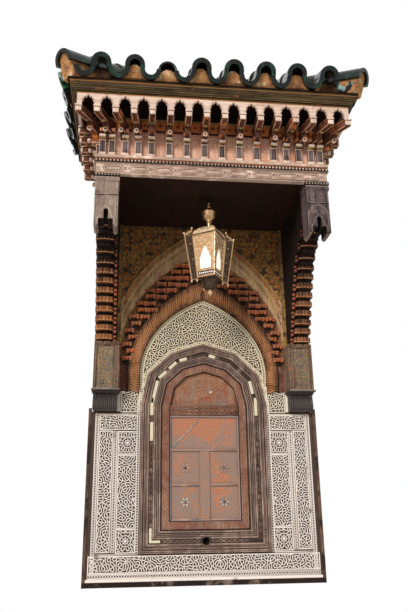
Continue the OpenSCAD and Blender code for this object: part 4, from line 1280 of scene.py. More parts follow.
def carve_arch():
    put = partial(put_piece, slot="stalactite_paint")
    s = size()
    rng = random.Random(s.seed + 1)
    # rope and painted lines between the plain band and the spandrels
    middle = [p for p in arch_line(ROPE_ARCH, 1.6, 0.026) if abs(p[0]) < 0.66]
    put(rope(middle, 0.015, 0.047, pitch=0.017), "rope_gold", "arch_rope", slot="moulding_paint")

    def lines(arch, *insets):
        return [[p for p in arch_line(arch, 1.6, d) if abs(p[0]) < 0.668] for d in insets]
    fillets = lines(ROPE_ARCH, 0.007, 0.044)
    put(strand(fillets, 0.005, 0.046, round_steps=1), "olive", "arch_fillets", slot="moulding_paint")
    dashes = lines(ROPE_ARCH, 0.015, 0.037)
    put(strand(dashes, 0.0025, 0.046), "orange", "arch_lines", slot="moulding_paint")
    edge = lines(PLAIN_ARCH, 0.012, 0.022) + [arch_line(CELL_ARCH, 1.45, -0.006)]
    put(strand(edge, 0.0044, 0.032, round_steps=1), "olive", "plain_band_edges", slot="moulding_paint")

    # painted sprays on the spandrels
    gold, orange = [], []
    rope_line = arch_line(ROPE_ARCH, 1.6)
    for row in range(17):
        for column in range(14):
            x = 0.03 + column * 0.047 + rng.uniform(-0.012, 0.012)
            z = 2.835 - row * 0.05 + rng.uniform(-0.012, 0.012)
            if x > 0.655 or gap(rope_line, x, z) < 0.022 or x < arch_half(z, ROPE_ARCH):
                continue
            turn = rng.uniform(0, tau)
            bag = gold if rng.random() < 0.55 else orange
            for k in range(rng.randint(2, 4)):
                bag.append(leaf(x, z, 0.014 + 0.01 * rng.random(), turn + k * 1.57, 1.5))
            if rng.random() < 0.3:
                gold.append(scroll(x, z, 0.022, turn, 1, 8))
    put(both_sides(strand(gold, 0.0046, 0.0195)), "gold", "spandrel_scrolls", slot="spandrel_paint")
    put(both_sides(strand(orange, 0.005, 0.0195)), "orange", "spandrel_flowers", slot="spandrel_paint")

    # boards under the cells, and the cells
    board = paint(both_sides(band_piece(CELL_ARCH, RIBBED_ARCH, 0.022, PILASTER_FOOT)), "cell_body")
    high, wide = 0.058, s.cell
    unit = stalactite_cell(wide, high + 0.003)
    spots = []
    low, top = 1.643, CELL_ARCH[1] + CELL_ARCH[2] - 0.02
    rows = int((top - low) / high)
    for k in range(rows):
        z = low + high * k
        outer = min(0.668, arch_half(z + high * 0.5, CELL_ARCH))
        inner = arch_half(z, RIBBED_ARCH) if z < RIBBED_ARCH[1] + RIBBED_ARCH[2] else 0
        count = max(1, round((outer - inner) / wide + 0.15))
        for c in range(count):
            x = outer - wide * (c + 0.5 + 0.5 * (k % 2)) - 0.004
            if x > max(0.02, inner - wide * 0.2):
                spots.append(at(x + rng.uniform(-0.004, 0.004), z + rng.uniform(-0.003, 0.003),
                    0.02 - rng.uniform(0, 0.018), rng.uniform(-0.05, 0.05)))
        if inner < 0.04 and outer > wide:
            spots.append(at(0, z, 0.02, scale=0.98))
    cells = both_sides(copies(unit, spots))
    put(join(board, cells), None, "stalactite_cells", replaces=("stalactite_arch",))
    edge = [(arch_half(z, RIBBED_ARCH) + 0.006, z) for z in (1.428, 1.5, 1.57, 1.64)]
    foot = plate([(0.667, 1.428), (0.667, 1.64)] + list(reversed(edge)), 0.018, 0.027,
        steps=((0.004, 0.002),))
    put(both_sides(foot), "foot_panel", "arch_foot_panels")

    # ribbed band: ribs that swing from the plaster arch to the cells
    paths = [arch_line(line, RIB_FOOT, 0, 30) for line in (PLASTER_ARCH, RIBBED_ARCH)]
    lengths = [sum(dist(a, b) for a, b in zip(path, path[1:])) for path in paths]
    inner_spots = along(paths[0], s.gadroon)
    outer_spots = along(paths[1], s.gadroon * lengths[1] / lengths[0])
    ribs = []
    for (ax, az, aa), (bx, bz, ba) in zip(inner_spots, outer_spots):
        side = 1 if ax > 0 else -1
        line = []
        for i in range(7):
            t = 0.1 + 0.74 * i / 6
            swing = 0.014 * sin(pi * (2 * t - 1)) - 0.02 * t
            line.append((ax + (bx - ax) * t + cos(aa) * swing * side,
                az + (bz - az) * t + sin(aa) * swing * side, (0.5, 0.9, 1, 1, 1, 0.9, 0.5)[i]))
        ribs.append(line)
    put(strand(ribs, s.gadroon * 0.36, 0.05), "rib_crest", "ribbed_gadroons")
    shadow = strand([arch_line(RIBBED_ARCH, RIB_FOOT, -0.001)], 0.0055, 0.048)
    put(shadow, "soot", "ribbed_shadow_line")
    edges = [arch_line(PLASTER_ARCH, RIB_FOOT, -0.007), arch_line(RIBBED_ARCH, RIB_FOOT, 0.012)]
    put(strand(edges, 0.005, 0.052, round_steps=1), "ribbed", "ribbed_edges")


# Side supports


def tier_front(z):
    u = (z - TIER_FOOT) / (SOFFIT - TIER_FOOT)
    back = CANOPY - 0.15
    return min(back, 0.138 + (back - 0.15) * (0.76 * u + 0.16 * u * u + 1.9 * max(0, u - 0.6) ** 1.1))


def lobed_front(x0, x1, front, back, lobes=2, bulge=0.01, steps=6):
    """Plan of a tier: straight sides and a front of rounded lobes on a rounded line."""
    points = [(x1, -back), (x0, -back)]
    width = (x1 - x0) / lobes
    for k in range(lobes):
        for i in range(steps + (k == lobes - 1)):
            t = i / steps
            x = x0 + (k + t) * width
            u = 2 * (x - x0) / (x1 - x0) - 1
            points.append((x, -(front - 0.016 * u * u - bulge * (1 - sin(pi * t)))))
    return list(reversed(points))


def carve_brackets():
    put = partial(put_piece, slot="bracket_paint")
    x0, x1 = POST_IN + 0.03, BAY_HALF
    high = (SOFFIT - TIER_FOOT) / 16
    parts = []
    for k in range(16):
        z = TIER_FOOT + k * high
        front = tier_front(z + high)
        plan = lobed_front(x0, x1, front, 0, 5, 0.011, 5)
        parts.append(paint(plate(plan, z + high * 0.42, z + high * 0.99, "plan", ((0.004, 0.001),)), "lobe"))
        # The black core under each tier is its painted undercut shadow.
        core = plate(lobed_front(x0 + 0.01, x1 - 0.01, front - 0.04, 0), z - 0.004, z + high * 0.43, "plan")
        parts.append(paint(core, "soot"))
        lip = strand([plan[:-2]], 0.0034, z + high * 0.44, view="plan")
        parts.append(paint(lip, "cell_tip"))
        for share in (0.06, 0.56):
            tooth = block((POST_IN + 0.004, -(front - 0.018), z + high * share),
                (POST_IN + 0.024, -(front - 0.05), z + high * (share + 0.3)), 0.003)
            parts.append(paint(tooth, "tooth"))
        # Black web behind the teeth: painted shade.
        web = block((POST_IN + 0.003, -(front - 0.036), z - 0.002), (POST_IN + 0.031, 0, z + high + 0.001))
        parts.append(paint(web, "soot"))
    parts.append(paint(block((PILASTER_IN, -0.04, TIER_FOOT), (POST_IN + 0.002, 0, SOFFIT)), "cheek"))
    # Black board behind the tiers: painted shade.
    parts.append(paint(block((POST_IN, -0.04, TIER_FOOT), (BAY_HALF - 0.002, 0, SOFFIT)), "soot"))
    right = smooth(join(*parts), 35)
    left = mirror_of(right)
    # The right bracket's lobes take a darker finish: painted shade.
    for slot in right.material_slots:
        if slot.material == finish("lobe"):
            slot.material = finish("lobe_dark")
    put(right, None, "bracket_tiers_right", replaces=("bracket_right",))
    put(left, None, "bracket_tiers_left", replaces=("bracket_left",))


def carve_pilasters():
    put = partial(put_piece, slot="pilaster_paint")
    out = 0.142
    x0, x1, z0, z1 = 0.724, 0.844, 1.452, 1.762
    arch = [(x0 + 0.008, z0 + 0.01), (x0 + 0.008, z1 - 0.05), (0.784, z1 - 0.012), (x1 - 0.008, z1 - 0.05),
        (x1 - 0.008, z0 + 0.01)]
    ridge = strand([list(reversed(arch))], 0.003, out, True)
    stems = []
    for k in range(5):
        z = z0 + 0.03 + k * 0.056
        stems += [scroll(0.784 + 0.022, z, 0.019, pi, 1), scroll(0.784 - 0.022, z, 0.019, 0, -1),
            leaf(0.784, z, 0.03, pi / 2, 1.2), leaf(0.784, z + 0.01, 0.03, pi / 4),
            leaf(0.784, z + 0.01, 0.03, 3 * pi / 4)]
    flowers = strand(stems, 0.0026, out)
    edge = strand(uprights(1.43, 1.785, 0.677, 0.696, 0.716, 0.852, 0.868), 0.004, 0.15, round_steps=1)
    caps = [block((PILASTER_IN + 0.068 * k, -0.158, 1.77 - 0.004 * (k % 2)), (0.736 + 0.068 * k, -0.13, 1.8),
        0.006) for k in range(3)]
    put(both_sides(ridge), "pilaster_scroll", "pilaster_frames")
    put(both_sides(flowers), "pilaster_scroll", "pilaster_flowers")
    put(both_sides(edge), "pilaster_edge", "pilaster_beads")
    put(both_sides(join(*caps)), "pilaster_edge", "pilaster_caps")

    edges = strand(levels(0.674, 0.88, 1.419), 0.003, 0.166, round_steps=1)
    put(both_sides(edges), "post_ridge", "corbel_plate_edges", slot="corbel_wood")
    # ribs of the corbels, rolled over at the foot
    rib = [(0.05, 1.268, 0.6), (0.08, 1.273, 1), (0.098, 1.29, 1.1), (0.098, 1.325, 1), (0.09, 1.37, 0.9),
        (0.102, 1.392, 0.8)]
    units = [strand([rib], 0.0072, 0.68 + 0.192 * (k + 0.5) / 13, view="side", round_steps=1)
        for k in range(13)]
    put(both_sides(smooth(join(*units), 60)), "corbel", "corbel_ribs", slot="corbel_wood")


def carve_posts():
    put = partial(put_piece, slot="pale_wood")
    out = CANOPY
    cx = (POST_IN + BAY_HALF) / 2

    def mirrored(half):
        return [(cx + x, z) for x, z in half] + [(cx - x, z) for x, z in reversed(half)]
    lines = [mirrored([(0.08 - d, 2.47), (0.08 - d, 2.612), (0.056 - d * 0.6, 2.652 - d * 0.6),
        (0.006, 2.688 - d)]) for d in (0, 0.011)]
    keyhole = mirrored([(0.059, 2.456), (0.059, 2.508), (0.043, 2.518), (0.037, 2.545), (0.026, 2.574),
        (0.006, 2.598)])
    lines += [[(cx + side * 0.078, 2.7), (cx + side * 0.078, 2.806)] for side in (1, -1)]
    lines += levels(cx - 0.078, cx + 0.078, 2.7, 2.806)
    rings = [ring(cx + side * 0.04, 2.628, r, 12) for side in (1, -1) for r in (0.018, 0.01)]
    tops = [scroll(cx + side * 0.038, 2.732 + 0.042 * j, 0.018, 1.2 * j, side) for side in (1, -1)
        for j in range(2)]
    tops += [leaf(cx, 2.712 + 0.03 * j, 0.026, pi / 2, 1.3) for j in range(3)]
    face = join(strand(lines, 0.0042, out, flat=True), strand([keyhole], 0.0046, out),
        strand(rings, 0.0036, out, True), strand(tops, 0.0036, out))
    put(mirror_of(face), "post_ridge", "post_carving_left")
    # The right post's carving takes a darker finish: painted shade.
    put(face, "post_ridge_worn", "post_carving_right")
    # A black lining inside the keyhole: painted shade.
    cut = [mirrored([(0.053 - d, 2.456), (0.053 - d, 2.505 - d), (0.017 - d, 2.505 - d), (0.017 - d, 2.567),
        (0.012 - d * 0.7, 2.579 - d * 0.7), (0.002, 2.584 - d)]) for d in (0.0002, 0.003)]
    lining = plate(cut[0] + cut[1][::-1], CANOPY - 0.139, CANOPY - 0.002)
    put(both_sides(lining), "soot", "keyhole_soot")
    # Black lines inside the cusped outline and along the bars: painted shadow.
    shadows = strand([mirrored([(0.0745, 2.47), (0.0745, 2.61), (0.052, 2.648), (0.006, 2.682)])], 0.003, out)
    bars = strand(levels(POST_IN, BAY_HALF, 2.694, 2.812, 2.831, 2.846), 0.0034, out)
    put(both_sides(join(shadows, bars)), "soot", "post_grooves")
    tips = [plate([(x - 0.013, 2.456), (x, 2.44), (x + 0.013, 2.456)], CANOPY - 0.145, CANOPY - 0.005)
        for x in (cx - 0.07, cx + 0.07)]
    put(both_sides(join(*tips)), "post", "post_tips")
    cap = rope([(POST_IN - 0.004, 2.856), (BAY_HALF + 0.006, 2.856)], 0.018, CANOPY + 0.008, pitch=0.022,
        fill=0.34)
    bars = strand(levels(POST_IN - 0.002, BAY_HALF + 0.002, 2.838, 2.824), 0.004, CANOPY + 0.002, flat=True)
    # The black bed behind the rope: painted shade between its strands.
    bed = block((POST_IN - 0.0065, -0.8938, 2.8455), (BAY_HALF + 0.0105, -0.885, 2.8665))
    put(both_sides(join(paint(cap, "rope_dark"), paint(bed, "soot"))), None, "post_ropes")
    put(both_sides(bars), "post_ridge", "post_bars")


# Entablature


def tip_x(i):
    return (i - 7.5) * BEAM_PITCH


def root_x(i):
    reach, root, tip = BEAM_PITCH * 3.5, 0.858, BEAM_PITCH * 7.5
    a = abs(tip_x(i))
    b = a if a <= reach + 0.001 else reach + (a - reach) * (root - reach) / (tip - reach)
    return copysign(b, tip_x(i))


def side_y(j):
    return -0.8 + j * SIDE_PITCH


def round_canopy(unit, xs, ys, z, outs, scale=1):
    """Copies a facade unit along the canopy's front and both returns, at their two distances out."""
    front = copies(unit.copy(), [at(x, z, outs[0], scale=scale) for x in xs])
    right = copies(unit, [Matrix.Translation((outs[1], y, z)) @ QUARTER @ Matrix.Scale(scale, 4) for y in ys])
    return join(front, right, mirror_of(right))


def cartouche():
    """A long hexagon outlined twice, and the small link to the next one."""
    half = 0.07
    hexagon = [(-half, 0), (-half + 0.018, 0.021), (half - 0.018, 0.021), (half, 0), (half - 0.018, -0.021),
        (-half + 0.018, -0.021)]
    pale = paint(strand([hexagon, rect(half + 0.006, -0.012, half + 0.028, 0.012)], 0.0034, 0, True),
        "beam_end")
    lines = [[(x * 0.86, z * 0.72) for x, z in hexagon], [(x * 1.1, z * 1.28) for x, z in hexagon],
        rect(half + 0.011, -0.007, half + 0.023, 0.007)]
    dark = paint(strand(lines, 0.0022, 0, True), "carved_line")
    stem = [wave([(-half + 0.022, 0), (half - 0.022, 0)], 0.007, 0.024, fine=6)]
    return join(pale, dark, paint(strand(stem, 0.0026, 0), "beam_end"))


def carve_architrave():
    put = partial(put_piece, slot="pale_wood")
    mid = SOFFIT + 0.046
    fronts, returns = [(k - 4) * 0.186 for k in range(9)], [-0.782 + 0.178 * k for k in range(4)]
    put(round_canopy(cartouche(), fronts, returns, mid, (CANOPY, BAY_HALF)), None, "architrave_cartouches")
    lines = strand(levels(-0.872, 0.872, SOFFIT + 0.006, SOFFIT + 0.014, SOFFIT + 0.079, SOFFIT + 0.086),
        0.003, 0.885)
    put(lines, "beam_end", "architrave_lines")
    dark = strand(levels(-0.884, 0.884, SOFFIT + 0.01, SOFFIT + 0.0825, SOFFIT + 0.118), 0.0028, 0.886)
    put(dark, "carved_line", "architrave_dark_lines")
    red = strand(levels(-0.884, 0.884, SOFFIT + 0.126), 0.0045, 0.885)
    put(red, "orange_bare", "architrave_red_line")
    # The black bed behind the rope: painted shade between its strands.
    bed = join(block((-0.8835, -0.8966, 2.9615), (0.8835, -0.884, 2.9868)),
        both_sides(block((0.87, -0.896, 2.9615), (0.8835, -0.004, 2.9868))))
    put(bed, "soot", "architrave_rope_bed")
    put(rope([(-0.882, ROPE_HEIGHT), (0.882, ROPE_HEIGHT)], 0.021, 0.899, pitch=0.0258, fill=0.36),
        "rope_dark", "architrave_rope")
    sides = []
    for side in (1, -1):
        line = rope([(0, ROPE_HEIGHT), (0.88, ROPE_HEIGHT)], 0.021, 0.886, pitch=0.0258, fill=0.36)
        line.data.transform(QUARTER @ Matrix.Translation((-0.89, 0, 0)))
        if side < 0:
            line.data.transform(MIRROR)
            line.data.flip_normals()
        sides.append(line)
    put(join(*sides), "rope_dark", "architrave_side_ropes")


def colonnette():
    """Base, fluted shaft, dark neck, cream capital and the pink block over it."""
    rows = ((0.027, 0.033, 0, 0.024, 0.003, "beam_end"), (0.021, 0.0285, 0.024, 0.122, 0, "shaft"),
        (0.026, 0.036, 0.12, 0.132, 0.003, "beam_end"), (0.024, 0.058, 0.131, 0.139, 0, "olive"),
        (0.0255, 0.066, 0.138, 0.158, 0.004, "beam_end"), (0.0225, 0.061, 0.157, 0.167, 0, "soot"),
        (0.024, 0.058, 0.19, 0.217, 0.005, "frieze_block"))
    parts = [paint(block((-half, -deep, low), (half, 0, high), ease), tone)
        for half, deep, low, high, ease, tone in rows]
    parts.append(paint(strand(uprights(0.028, 0.118, -0.0205, 0.0205), 0.0028, 0.028), "beam_end"))
    parts.append(paint(strand(uprights(0.03, 0.116, -0.0062, 0.0062), 0.0008, 0.0283), "post_ridge"))
    return join(*parts)


def carve_frieze():
    put = partial(put_piece, slot="frieze_paint")
    roots, ys = [root_x(i) for i in range(16)], [side_y(j) for j in range(6)]
    columns = round_canopy(colonnette(), [max(-0.83, min(0.83, x)) for x in roots], ys, FRIEZE_FOOT,
        (0.862, 0.849))
    put(columns, None, "frieze_columns")

    # bosses under the beams, some of them lost, and the olive scroll blocks under the noses
    boss = lathe([(0, 0), (0.015, 0.001), (0.02, 0.01), (0.02, 0.02), (0.013, 0.026), (0.01, 0.021),
        (0, 0.016)], (0, 0, 0), 10)
    boss.data.transform(turned(pi / 2, "X"))
    paint(boss, "beam_end", "soot")
    for face in boss.data.polygons:
        x, y, z = face.center
        face.material_index = int(hypot(x, z) < 0.009 and y < -0.005)
    lost = (4, 6, 8, 10, 12, 14)
    under = [root + (tip_x(i) - root) * 0.47 for i, root in enumerate(roots) if i not in lost]
    put(smooth(round_canopy(boss, under, ys, 3.194, (0.95, 0.925), 0.95), 45), None, "frieze_bosses")
    curl = join(strand([ring(0, 0, 0.013, 8), ring(0, 0, 0.006, 6)], 0.004, 0, True),
        plate(ring(0, 0, 0.012, 8), -0.012, 0.001))
    under = [root + (tip_x(i) - root) * 0.6 for i, root in enumerate(roots)]
    put(round_canopy(curl, under, ys, 3.245, (1.006, 0.972)), "olive", "beam_scrolls", slot="beam_wood")

    def panel(width):
        half = width / 2 - 0.024
        item = strand([rect(-half, 0.036, half, 0.205)], 0.0028, 0, True)
        blooms = []
        for k in range(3):
            z = 0.07 + 0.048 * k
            blooms += [scroll(half * 0.45, z, 0.014, pi, 1), scroll(-half * 0.45, z, 0.014, 0, -1),
                leaf(0, z - 0.012, 0.036, pi / 2, 1.5)]
            blooms += [leaf(0, z, 0.02, pi / 2 + t, 1.1) for t in (-0.9, 0.9)]
        return join(item, strand(blooms, 0.0028, 0))

    def square(width):
        half = width / 2 - 0.02
        board = paint(plate(rect(-half, 0.247, half, 0.33), -0.002, 0.006,
            steps=((0.006, 0.002), (0.004, -0.003))), "square")
        flower = paint(strand([leaf(0, 0.288, 0.02, tau * k / 6, 1.4) for k in range(6)], 0.003, 0.004),
            "soot_paint")
        # The last ledge is a black strip: painted shade between the beams above the squares.
        ledges = [paint(block((-width / 2, -0.01, 0.332), (width / 2, 0.001, 0.344), 0.002), "olive"),
            paint(block((-width / 2, -0.008, 0.229), (width / 2, 0.001, 0.245), 0.002), "carved_line"),
            paint(block((-width / 2, -0.003, 0.344), (width / 2, 0.001, 0.43)), "soot")]
        return join(board, flower, *ledges)
    pieces, squares = [], []
    for i in range(15):
        a, b = max(-0.845, root_x(i)), min(0.845, root_x(i + 1))
        for make, bag in ((panel, pieces), (square, squares)):
            item = make(b - a)
            item.data.transform(at((a + b) / 2, FRIEZE_FOOT, 0.86))
            bag.append(item)
    for j in range(5):
        for make, bag in ((panel, pieces), (square, squares)):
            item = make(SIDE_PITCH)
            item.data.transform(Matrix.Translation((0.847, (side_y(j) + side_y(j + 1)) / 2,
                FRIEZE_FOOT)) @ QUARTER)
            bag += [item, mirror_of(item)]
    put(join(*pieces), "frieze_ridge", "frieze_carving")
    put(join(*squares), None, "painted_squares")


def beam_nose():
    """Pale carved end of a beam under its cap, with a dark line between them."""
    nose = paint(plate([(-0.022, -0.054), (0.022, -0.054), (0.022, -0.019), (-0.022, -0.019)], -0.006, 0.005,
        steps=((0.004, 0.003),)), "beam_end")
    cap = paint(plate([(-0.0265, -0.0125), (0.0265, -0.0125), (0.0265, 0), (-0.0265, 0)], -0.02, 0.006,
        steps=((0.002, 0.002),)), "beam_end")
    line = paint(block((-0.024, -0.004, -0.019), (0.024, 0.004, -0.0125)), "soot_paint")
    return join(nose, cap, line)


def carve_beams():
    put = partial(put_piece, slot="beam_wood")
    tips, gaps = [tip_x(i) for i in range(16)], [tip_x(i + 0.5) for i in range(15)]
    side_tips, side_gaps = [side_y(j) for j in range(6)], [side_y(j + 0.5) for j in range(6)]
    put(round_canopy(beam_nose(), tips, side_tips, ARCADE_FOOT, (1.095, 1.013)), None, "beam_noses")

    # pale lines along the lower edges of the beams' undersides
    edges = []
    for z, start, end in ((3.2455, 0.48, 0.98), (3.1885, 0.25, 0.46)):
        lines = []
        for i in range(16):
            run = tip_x(i) - root_x(i)
            for d in (-0.0212, 0.0212):
                lines.append([(root_x(i) + run * t + d, -(0.86 + 0.235 * t)) for t in (start, end)])
        for j in range(6):
            for d in (-0.0212, 0.0212):
                lines += [[(side * (0.847 + 0.165 * t), side_y(j) + d) for t in (start, end)]
                    for side in (1, -1)]
        edges.append(strand(lines, 0.0036, z, view="plan"))
    put(join(*edges), "beam_edge", "beam_edges")

    def edging():
        """Rounded edge of one arcade opening with its small point."""
        r = 0.0445
        head = [(r * cos(a), 0.038 + r * sin(a)) for a in (0.3, 0.6, 0.9, 1.2)]
        half = [(r, 0.002), (r, 0.036)] + head + [(0.01, 0.083), (0, 0.093)]
        return strand([half + [(-x, z) for x, z in reversed(half[:-1])]], 0.003, 0)
    put(round_canopy(edging(), gaps, side_gaps, ARCADE_FOOT, ARCADE_OUTS), "arcade_edge", "arcade_edging",
        slot="arcade_wood")

    def cusps():
        """Points that cut the round head of an arcade opening into lobes."""
        r, items = 0.0455, []
        for middle in (0.05, 0.62, 1.18):
            for a in (middle, pi - middle):
                outer = [(r * cos(a + d), 0.038 + r * sin(a + d)) for d in (-0.2, 0.2)]
                items.append(plate([outer[0], outer[1], (r * 0.74 * cos(a), 0.038 + r * 0.74 * sin(a))],
                    -0.016, 0.001))
        return join(*items)
    put(round_canopy(cusps(), gaps, side_gaps, ARCADE_FOOT, ARCADE_OUTS), "arcade", "arcade_cusps",
        slot="arcade_wood")

    # The black lines between the cornice's mouldings are painted shade.
    for name, reach, z, radius, tone in (
            ("orange", 0, 3.4085, 0.0042, "cornice_orange"), ("foot", 0.007, 3.42, 0.0052, "soot"),
            ("low", 0.011, 3.43, 0.0046, "cornice_line"), ("dark", 0.022, 3.44, 0.0075, "soot"),
            ("middle", 0.032, 3.4535, 0.0044, "cornice_line"), ("shadow", 0.041, 3.464, 0.007, "soot"),
            ("high", 0.049, 3.48, 0.0052, "cornice_orange")):
        half, deep = ARCADE_OUTS[1] + reach, ARCADE_OUTS[0] + reach
        line = strand([[(half, 0), (half, -deep), (-half, -deep), (-half, 0)]], radius, z, view="plan",
            round_steps=1)
        put(line, tone, "cornice_%s_line" % name, slot="cornice_paint")


# Roof


def half_tile(radius, thick, length, up, taper=0.93, leg=0):
    """A half-round tile along +Y from y = 0, with a rounded lip, straight legs and its crown up or down."""
    steps = 10
    outer = [(radius, -leg)] * bool(leg) + [(radius * cos(pi * i / steps), radius * sin(pi * i / steps))
        for i in range(steps + 1)]
    outer += [(-radius, -leg)] * bool(leg)
    inner = [(x * (radius - thick) / radius, z * (radius - thick) / radius if z > 0 else z)
        for x, z in reversed(outer)]
    outline = outer + inner
    bpy.ops.mesh.primitive_circle_add(vertices=len(outline), fill_type="NOTHING")
    item = apply_place(bpy.context.active_object)
    for vertex, (u, v) in zip(item.data.vertices, outline):
        vertex.co = (u, 0, v)
    bpy.ops.object.mode_set(mode="EDIT")
    bpy.ops.mesh.select_all(action="SELECT")
    bpy.ops.mesh.extrude_region_move(TRANSFORM_OT_translate={"value": (0, length, 0)})
    bpy.ops.transform.resize(value=(taper, 1, taper), center_override=(0, length, 0))
    n = len(outline)
    for end in (0, n):
        for i in range(len(outer) - 1):
            bpy.ops.mesh.select_all(action="DESELECT")
            mesh = bmesh.from_edit_mesh(item.data)
            mesh.verts.ensure_lookup_table()
            for k in (i, i + 1, n - 2 - i, n - 1 - i):
                mesh.verts[end + k].select_set(True)
            bmesh.update_edit_mesh(item.data)
            bpy.ops.mesh.edge_face_add()
    bpy.ops.mesh.select_all(action="SELECT")
    bpy.ops.mesh.normals_make_consistent(inside=False)
    bpy.ops.mesh.select_all(action="DESELECT")
    mesh = bmesh.from_edit_mesh(item.data)
    for edge in mesh.edges:
        edge.select_set(all(v.co.y < 1e-6 for v in edge.verts) and edge.calc_face_angle(0) > 1)
    bmesh.update_edit_mesh(item.data)
    bpy.ops.mesh.bevel(offset=thick * 0.3, segments=2, affect="EDGES")
    bpy.ops.object.mode_set(mode="OBJECT")
    outward(item)
    if not up:
        item.data.transform(Matrix.Diagonal((1, 1, -1, 1)))
        item.data.flip_normals()
    return item


def slope_places(eave, spots):
    """Places on a slope from its eave's matrix; a spot is x, distance up, height over it and two turns."""
    rise = turned(SLOPE, "X")
    return [eave @ rise @ Matrix.Translation((x, up, over)) @ turned(tilt, "X") @ turned(yaw, "Z")
        for x, up, over, tilt, yaw in spots]


def lay_roof():
    put = partial(put_piece, slot="glazed_tile")
    s = size()
    rng = random.Random(s.seed + 2)
    front = Matrix.Translation((0, -EAVE_DEPTH, ROOF))
    right = Matrix.Translation((EAVE_HALF, 0, ROOF)) @ QUARTER
    left = Matrix.Translation((-EAVE_HALF, 0, ROOF)) @ turned(-pi / 2, "Z")
    cover_axis, channel_axis = 0.1, 0.073
    length = s.course + 0.045
    slope_cos = cos(SLOPE)

    def front_limit(x):
        return max(0, (EAVE_HALF - abs(x) - 0.075)) / slope_cos if abs(x) < EAVE_HALF else 0

    def side_limit(x):
        return max(0, min(EAVE_HALF - 0.04, (x + EAVE_DEPTH) - 0.075)) / slope_cos

    columns = [((k - 3.5) * TILE_PITCH, True) for k in range(8)] + [((k - 4) * TILE_PITCH, False)
        for k in range(9)]
    ys = (-0.965, -0.724, -0.483, -0.242)
    side_columns = [(y, True) for y in ys] + [(y - TILE_PITCH / 2, False) for y in ys + (0,)]
    sets = (("front", front, columns, front_limit, ("roof_tiles_front",)),
        ("right", right, side_columns, side_limit, ("roof_tiles_right",)),
        ("left", left, [(-x, c) for x, c in side_columns], lambda x: side_limit(-x), ("roof_tiles_left",)))
    beds = []
    for name, eave, cols, limit, replaced in sets:
        parts = []
        for x, is_cover in cols:
            top = limit(x)
            broken = name == "front" and is_cover and abs(x + 1.5 * TILE_PITCH) < 0.01
            for row in range(max(1, ceil((top - 0.02) / s.course))):
                up = row * s.course
                if top - up < 0.05:
                    continue
                share = min(1, (top - up) / length)
                over = cover_axis if is_cover else channel_axis
                play = (-0.006, 0.006) if row else (-0.016, 0.004)
                spot = (x + rng.uniform(-0.006, 0.006), up + rng.uniform(*play),
                    over + rng.uniform(-0.005, 0.005) + 0.01, -0.045, rng.uniform(-0.04, 0.04))
                thick = s.tile
                if broken and row == 0:
                    spot, thick = (x, up + 0.062, over - 0.018, -0.045, 0.05), s.tile * 0.45
                unit = half_tile(s.cover if is_cover else s.channel, thick, max(0.06, length * share),
                    is_cover, leg=0.03 if is_cover else 0)
                tone = rng.random()
                blue = (broken and row == 0) or tone > 0.92
                thin = tone > 0.86 or (name == "left" and abs(x) > 0.9)
                paint(unit, "glaze_blue" if blue else "glaze_light" if thin else "glaze")
                parts.append(copies(unit, slope_places(eave, [spot])))
            if is_cover and top > 0.2:
                bed = mortar_bed(rng, s, 0.088 if broken else 0.112)
                beds.append(copies(bed, slope_places(eave, [(x, 0, 0, 0, 0)])))
        put(smooth(join(*parts), 50), None, "tiles_" + name, replaces=replaced)

    # caps along both hips, and their mortar
    hip_turn = atan(tan(SLOPE) / sqrt(2))
    caps = []
    total = EAVE_HALF * sqrt(2) / cos(hip_turn)
    count = 6
    step = total / count
    base = Matrix.Translation((EAVE_HALF, -EAVE_DEPTH, ROOF)) @ turned(pi / 4, "Z") @ turned(hip_turn, "X")
    for k in range(count):
        share = 1 if k < count - 1 else 0.9
        unit = half_tile(0.08, 0.027, (step + 0.05) * share, True, 0.95, 0.026)
        unit.data.transform(base @ Matrix.Translation((rng.uniform(-0.003, 0.003), k * step - 0.004,
            0.116 + rng.uniform(-0.003, 0.003))) @ turned(-0.04, "X"))
        caps.append(unit)
    hips = both_sides(join(*caps))
    put(smooth(hips, 50), "glaze", "hip_caps", replaces=("hip_tiles",))
    put(smooth(join(*beds), 50), "mortar", "mortar_wedges", slot="mortar", replaces=("tile_bedding",))


def mortar_bed(rng, s, crown):
    """Rough mortar that fills a cover tile almost to its crown, set back from its lip."""
    wide = s.cover
    outline = [(-wide - 0.034, -0.002), (wide + 0.034, -0.002), (wide + 0.016, 0.028), (wide - 0.01, 0.06),
        (0.036, crown * 0.84), (0.016, crown * 0.97), (-0.016, crown * 0.97), (-0.036, crown * 0.84),
        (-wide + 0.01, 0.06), (-wide - 0.016, 0.028)]
    item = plate(outline, -0.3, -0.036, steps=((0.01, 0.004), (0.014, 0.004)))
    for vertex in item.data.vertices:
        if vertex.co.y < 0.1:
            vertex.co.y += rng.uniform(-0.006, 0.006)
    return item


# Lantern


def lantern_unit(item):
    """Copies a piece made for the lantern's +X direction to its four sides."""
    base = Matrix.Translation((0, -LANTERN_Y, 0))
    spots = [base @ turned(CAGE_TURN + radians(45 + 90 * k), "Z") for k in range(4)]
    return copies(item, spots)


